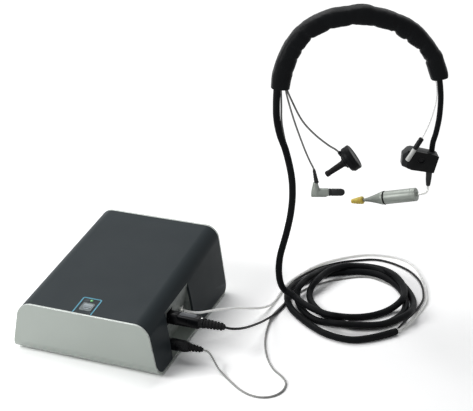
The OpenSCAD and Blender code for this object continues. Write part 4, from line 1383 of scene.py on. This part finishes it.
class TYMP_OT_headband(bpy.types.Operator):
    """Blows up the padded headband as cloth, then works its folds in and cuts its ends square"""

    bl_idname = "tymp.headband"
    bl_label = "Headband"

    def execute(self, context):
        band = context.scene.tymp_headband
        start, end = BAND_A0 - 3.5, BAND_A1 + 3.5
        rings = 96
        sides = 28
        verts = []
        for i in range(rings + 1):
            angle = start + (end - start) * i / rings
            inner = band_edge(angle, 1) + 1.0
            outer = band_edge(angle, 2) - 1.0
            mid, half = (inner + outer) / 2, (outer - inner) / 2
            for k in range(sides):
                # A power under 1 makes the round section a rounded rectangle.
                b = 2 * math.pi * k / sides
                c, s = (math.copysign(abs(w) ** 0.55, w) for w in (math.cos(b), math.sin(b)))
                verts.append(on_band(mid + half * c, angle, PAD_START * s))
        obj = skin("band", verts, sides)
        with Shaping(obj) as edit:
            edit.outward()
        change(obj, "REMESH", mode="VOXEL", voxel_size=0.0032)
        self.blow_up(context, obj, band)
        change(obj, "SUBSURF", levels=1, render_levels=1)
        self.work_folds(obj, band.crease / MM)
        with Shaping(obj) as edit:
            # The sleeve's ends are cut off square.
            for angle, side in ((BAND_A0 + 0.2, 1), (BAND_A1 - 0.2, -1)):
                a = math.radians(angle)
                way = HEADSET.to_3x3() @ Vector((-math.sin(a), 0, math.cos(a)))
                edit.split(on_band(BAND_RADIUS, angle), way * side, clear_inner=True)
        finish(obj, "headband", "band_cloth", nodes="headband_pad", smooth=80)
        return {"FINISHED"}

    def blow_up(self, context, obj, band):
        """Runs the padding as cloth under pressure; no corner moves further than the swell."""
        before = [v.co.copy() for v in obj.data.vertices]
        cloth = obj.modifiers.new("Cloth", "CLOTH")
        cloth.settings.use_pressure = True
        cloth.settings.uniform_pressure_force = 4.0
        cloth.settings.tension_stiffness = 20
        cloth.settings.bending_stiffness = 1.5
        cloth.settings.effector_weights.gravity = 0
        cloth.point_cache.frame_start = 1
        cloth.point_cache.frame_end = band.steps
        scene = context.scene
        kept_frame = scene.frame_current
        for step in range(1, band.steps + 1):
            scene.frame_set(step)
        shape = obj.evaluated_get(context.evaluated_depsgraph_get())
        after = [v.co.copy() for v in shape.data.vertices]
        obj.modifiers.remove(cloth)
        scene.frame_set(kept_frame)
        for vert, old, new in zip(obj.data.vertices, before, after):
            step = new - old
            if step.length > band.swell:
                step = step.normalized() * band.swell
            vert.co = old + step
        obj.data.update()

    def work_folds(self, obj, depth):
        """Brings the padding to its measured edges and presses the folds into its inner side."""
        back = HEADSET.inverted()
        for vert in obj.data.vertices:
            p = (back @ vert.co) / MM
            x, z = p.x - BAND_S, p.z - BAND_Z
            angle = math.degrees(math.atan2(z, x))
            inner, outer = band_edge(angle, 1), band_edge(angle, 2)
            mid, half = (inner + outer) / 2, (outer - inner) / 2
            across = max(-1.05, min(1.05, (math.hypot(x, z) - mid) / half))
            inside = max(0.0, min(1.0, 0.5 - 0.75 * across))
            fold = 0.0
            for where, width, part in BAND_FOLDS:
                lean = angle - where - 1.6 * across + 0.12 * p.y
                fold += part * math.exp(-((lean / width) ** 2))
            drift = noise.noise(Vector((angle * 0.22, across * 1.4, p.y * 0.11)))
            fine = noise.noise(Vector((angle * 0.7 + 31, across * 2.6, p.y * 0.3)))
            push = -depth * fold * (0.18 + 0.82 * inside) + 0.3 * drift + 0.14 * fine
            way = Vector((across, p.y / PAD_HALF))
            reach = max(way.length, 0.2)
            radius = mid + half * across + push * way.x / reach
            deep = max(-PAD_MOST, min(PAD_MOST, p.y + push * way.y / reach))
            vert.co = on_band(radius, angle, deep)
        obj.data.update()


# ---------------------------------------------------------------- holder and probe

HOLDER = [
    (127.7, 180.1), (124.3, 179.4), (119.1, 174.1), (118.7, 161.7), (128.4, 159), (151.2, 155.6),
    (155.4, 173), (152.1, 174.9),
]


class TYMP_OT_holder(bpy.types.Operator):
    """Makes the holder block with its front plate, guard ring and strain relief"""

    bl_idname = "tymp.holder"
    bl_label = "Probe holder"

    def execute(self, context):
        body = carved(HOLDER, -7, 6)
        plate = carved(HOLDER, -9, -7)
        for piece in (body, plate):
            with Shaping(piece) as edit:
                # The front slants back over its left third.
                edit.split(at(128.2, -9, 0), (-0.42, -0.9, 0), clear_outer=True)
        ledge = block(128, 150.5, 4, 8.6, 158.5, 171, (1, 3, 5))
        cap = turned([(166, 3.9), (175.6, 3.9), (176.2, 3.5)], 32, move(149, 0, 0))
        body = fuse(body, ledge, cap)
        soften(body, 0.7, 3, 40)
        finish(body, "holder_block", "holder_side", "black_plastic", HEADSET, "probe_holder")
        cut(plate, turned([(-1, 3.7), (1.3, 3.7)], 40, move(138, -8, 169.3) @ turn(90, "X")))
        soften(plate, 0.4, 3, 40)
        finish(plate, "holder_front", "holder_plate", place=HEADSET, nodes="holder_cover")
        ring = turned([(0, 3.6), (1.6, 3.6), (1.9, 3.3), (1.9, 2.9), (0.6, 2.3), (0.6, 1.2)], 40,
                      move(138, -7.2, 169.3) @ turn(90, "X"))
        finish(ring, "holder_port", "black_satin", "black_plastic", HEADSET)
        relief = turned([(0, 3.3), (0.6, 3.5), (4.2, 3.4), (5.0, 3.2), (12, 2.9), (17, 2.35),
                         (18.6, 2.1), (19, 1.7)], 32, move(148, 0, 157) @ turn(180, "X"))
        finish(relief, "probe_relief", "relief_rubber", "black_rubber", HEADSET,
               "probe_strain_relief")
        return {"FINISHED"}


class TYMP_OT_probe(bpy.types.Operator):
    """Turns the ear probe: rear cap, body, ring, nose cone and ear tip"""

    bl_idname = "tymp.probe"
    bl_label = "Ear probe"

    def execute(self, context):
        cap = turned([(0, 3.4), (0, 5.6), (0.4, 6.5), (1.0, 7.0), (1.5, 7.0), (1.5, 5.6),
                      (4, 5.6)], 56)
        gland = turned([(-1.6, 1.7), (-1.2, 2.1), (0.2, 2.3)], 32)
        finish(fuse(cap, gland), "probe_cap", "probe_silver", place=PROBE, nodes="probe_rear_cap")
        body = turned([(1.5, 5.9), (1.5, 6.9), (1.8, 7.0), (5.2, 7.0), (5.5, 6.75), (6.1, 6.75),
                       (6.4, 7.0), (34.4, 7.0), (35, 6.8), (35, 5.9)], 64)
        finish(body, "probe_shell", "probe_silver", place=PROBE, nodes="probe_body")
        stud = turned([(0, 0.9), (0.5, 0.9), (0.7, 0.7), (0.45, 0.5)], 24,
                      move(0, -6.85, 3.6) @ turn(90, "X"))
        finish(stud, "probe_stud", "spring_steel", place=PROBE)
        ring = begin("torus", major_radius=6.25 * MM, minor_radius=1.15 * MM, major_segments=64,
                     minor_segments=14, location=at(0, 0, 35.75))
        finish(ring, "probe_ring", "black_rubber", place=PROBE, nodes="probe_o_ring", smooth=80)
        profile = [(36.6, 6.2), (36.6, 6.9), (36.9, 7.0), (38.6, 7.0)]
        for i in range(1, 15):
            part = i / 14
            profile.append((38.6 + 19.9 * part, 1.8 + 5.2 * (1 - part) ** 1.32))
        cone = turned(profile + [(68.3, 1.8), (68.5, 1.65)], 64)
        finish(cone, "nose_cone_shell", "probe_silver", place=PROBE, nodes="nose_cone",
               body="cone", smooth=50)
        tip = turned([(60.0, 2.0), (60.0, 3.5), (60.3, 3.9), (61.2, 4.2), (62.2, 4.25),
                      (62.7, 4.1), (63.1, 3.6), (63.6, 3.5), (64.0, 3.85), (64.8, 3.85),
                      (67.5, 3.4), (68.0, 3.0), (68.4, 3.1), (71.6, 2.6), (72.9, 2.3),
                      (73.4, 2.0), (73.5, 1.5), (72.9, 1.0)], 56)
        finish(tip, "ear_tip_rubber", "tip_rubber", place=PROBE, nodes="ear_tip", body="tip",
               smooth=50)
        return {"FINISHED"}


class TYMP_OT_air_joint(bpy.types.Operator):
    """Makes the small two-part rod on the holder"""

    bl_idname = "tymp.air_joint"
    bl_label = "Air joint"

    def execute(self, context):
        upper = turned([(0, 1.1), (0.2, 1.9), (0.8, 2.45), (1.6, 2.65), (2.6, 2.65), (2.9, 2.35),
                        (3.3, 2.35), (3.6, 2.65), (12.6, 2.6), (12.9, 2.2), (13.4, 2.1)], 36)
        finish(upper, "air_joint_upper", "black_satin", "black_gloss", AIR_JOINT, "air_joint")
        lower = turned([(13.4, 1.8), (13.6, 2.15), (14.0, 2.25), (26.6, 2.25), (27.2, 2.1),
                        (27.6, 1.6)], 36)
        finish(lower, "air_joint_lower", "white_plastic", place=AIR_JOINT,
               nodes="air_joint_sleeve")
        return {"FINISHED"}


class TYMP_OT_elbow_phone(bpy.types.Operator):
    """Makes the elbow-shaped phone with its relief and black tip"""

    bl_idname = "tymp.elbow_phone"
    bl_label = "Elbow phone"

    def execute(self, context):
        body = turned([(0, 3.2), (0.3, 3.9), (0.9, 4.2), (15.6, 4.2), (16.3, 3.8), (18, 1.6),
                       (24, 1.55)], 48, move(29.9, 0, 130.5) @ turn(90, "Y"))
        neck = turned([(0, 5.2), (3, 4.8), (6, 4.2), (8.6, 3.4), (11, 2.85), (12.6, 2.7),
                       (13.1, 2.3)], 40, move(33.2, 0, 128.6) @ turn(-4, "Y"))
        shelf = block(28.2, 44.5, -3.4, 3.4, 126.2, 128.4, (2, 2, 5))
        body = fuse(body, neck, shelf)
        # One skin over the three of them, eased where they meet.
        change(body, "REMESH", mode="VOXEL", voxel_size=0.0004)
        change(body, "SMOOTH", factor=0.5, iterations=5)
        finish(body, "elbow_body", "probe_silver", place=HEADSET, nodes="elbow_phone", smooth=80)
        relief = slotted_boot(0, 15.5, 2.3, 1.35, 5, 0.22, move(33.5, 0, 141) @ turn(-12, "Y"))
        finish(relief, "elbow_relief", "relief_rubber", "black_plastic", HEADSET,
               "elbow_strain_relief")
        tip = turned([(0, 2.2), (0, 3.5), (0.4, 3.85), (2.2, 3.85), (2.5, 3.55), (3.0, 3.55),
                      (3.3, 3.85), (13.0, 3.8), (14.6, 3.45), (15.8, 2.7), (16.5, 1.8),
                      (16.8, 0.9), (15.6, 0.8)], 48, move(46.05, 0, 130.5) @ turn(90, "Y"))
        finish(tip, "elbow_tip", "relief_rubber", "black_rubber", HEADSET, "elbow_phone_tip",
               body="phone_tip", smooth=50)
        return {"FINISHED"}


class TYMP_OT_disc_phone(bpy.types.Operator):
    """Makes the disc-shaped phone with its stepped hub and spout"""

    bl_idname = "tymp.disc_phone"
    bl_label = "Disc phone"

    def execute(self, context):
        body = turned([(-5.2, 8.7), (-5.2, 12.3), (-4.8, 13.1), (-4.0, 13.5), (-1.4, 13.5),
                       (-1.1, 13.2), (-0.6, 13.2), (-0.3, 13.5), (2.4, 13.4), (3.2, 13.0),
                       (3.6, 12.3), (4.8, 11.9), (5.2, 11.2), (5.2, 7.6), (6.0, 6.8),
                       (7.4, 6.5), (7.8, 6.0)], 72)
        with Shaping(body) as edit:
            edit.inset(lambda f: f.normal.z < -0.9, (1.5, 0), (0.6, -0.5))
        gland = turned([(0, 2.3), (4, 2.2), (6.6, 1.8), (7.2, 1.4)], 28,
                       move(6.2, 0, 4.6) @ turn(82, "Y"))
        finish(fuse(body, gland), "disc_body", "black_plastic", place=DISC, nodes="disc_phone")
        spout = turned([(7.8, 4.6), (8.6, 4.4), (9.4, 3.8), (10.2, 3.5), (23, 3.0), (26.2, 2.9),
                        (26.6, 3.2), (28.8, 3.15), (29.7, 2.85), (30.2, 2.3), (30.2, 1.2),
                        (24.0, 1.1)], 40)
        finish(spout, "disc_spout", "black_rubber", place=DISC, nodes="disc_phone_nozzle")
        return {"FINISHED"}


# ---------------------------------------------------------------- panel and registration

STEPS = (
    TYMP_OT_stage, TYMP_OT_table_leads, TYMP_OT_main_cable, TYMP_OT_headset_cords,
    TYMP_OT_frame_paint, TYMP_OT_cover, TYMP_OT_sheet, TYMP_OT_key, TYMP_OT_underside,
    TYMP_OT_probe_plug, TYMP_OT_phone_plug, TYMP_OT_headband, TYMP_OT_holder, TYMP_OT_probe,
    TYMP_OT_air_joint, TYMP_OT_elbow_phone, TYMP_OT_disc_phone,
)
SETTINGS = (
    ("tymp_unit", UnitSettings), ("tymp_cords", CordSettings),
    ("tymp_headband", HeadbandSettings), ("tymp_colours", ColourSettings),
)


class TYMP_PT_dressing(bpy.types.Panel):
    """Lists the settings and the steps that dress the device"""

    bl_idname = "TYMP_PT_dressing"
    bl_label = "Tympanometer"
    bl_space_type = "VIEW_3D"
    bl_region_type = "UI"
    bl_category = "Tympanometer"

    def draw(self, context):
        for name, group in SETTINGS:
            box = self.layout.box()
            for field in group.__annotations__:
                box.prop(getattr(context.scene, name), field)
        for step in STEPS:
            self.layout.operator(step.bl_idname)


def register():
    for _, group in SETTINGS:
        bpy.utils.register_class(group)
    for name, group in SETTINGS:
        setattr(bpy.types.Scene, name, PointerProperty(type=group))
    for step in STEPS:
        bpy.utils.register_class(step)
    bpy.utils.register_class(TYMP_PT_dressing)


def unregister():
    bpy.utils.unregister_class(TYMP_PT_dressing)
    for step in reversed(STEPS):
        bpy.utils.unregister_class(step)
    for name, group in reversed(SETTINGS):
        delattr(bpy.types.Scene, name)
        bpy.utils.unregister_class(group)


def main():
    register()
    bpy.context.scene.view_settings.view_transform = "Standard"
    for step in STEPS:
        getattr(bpy.ops.tymp, step.bl_idname.split(".")[1])()
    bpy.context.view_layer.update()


if __name__ == "__main__":
    main()
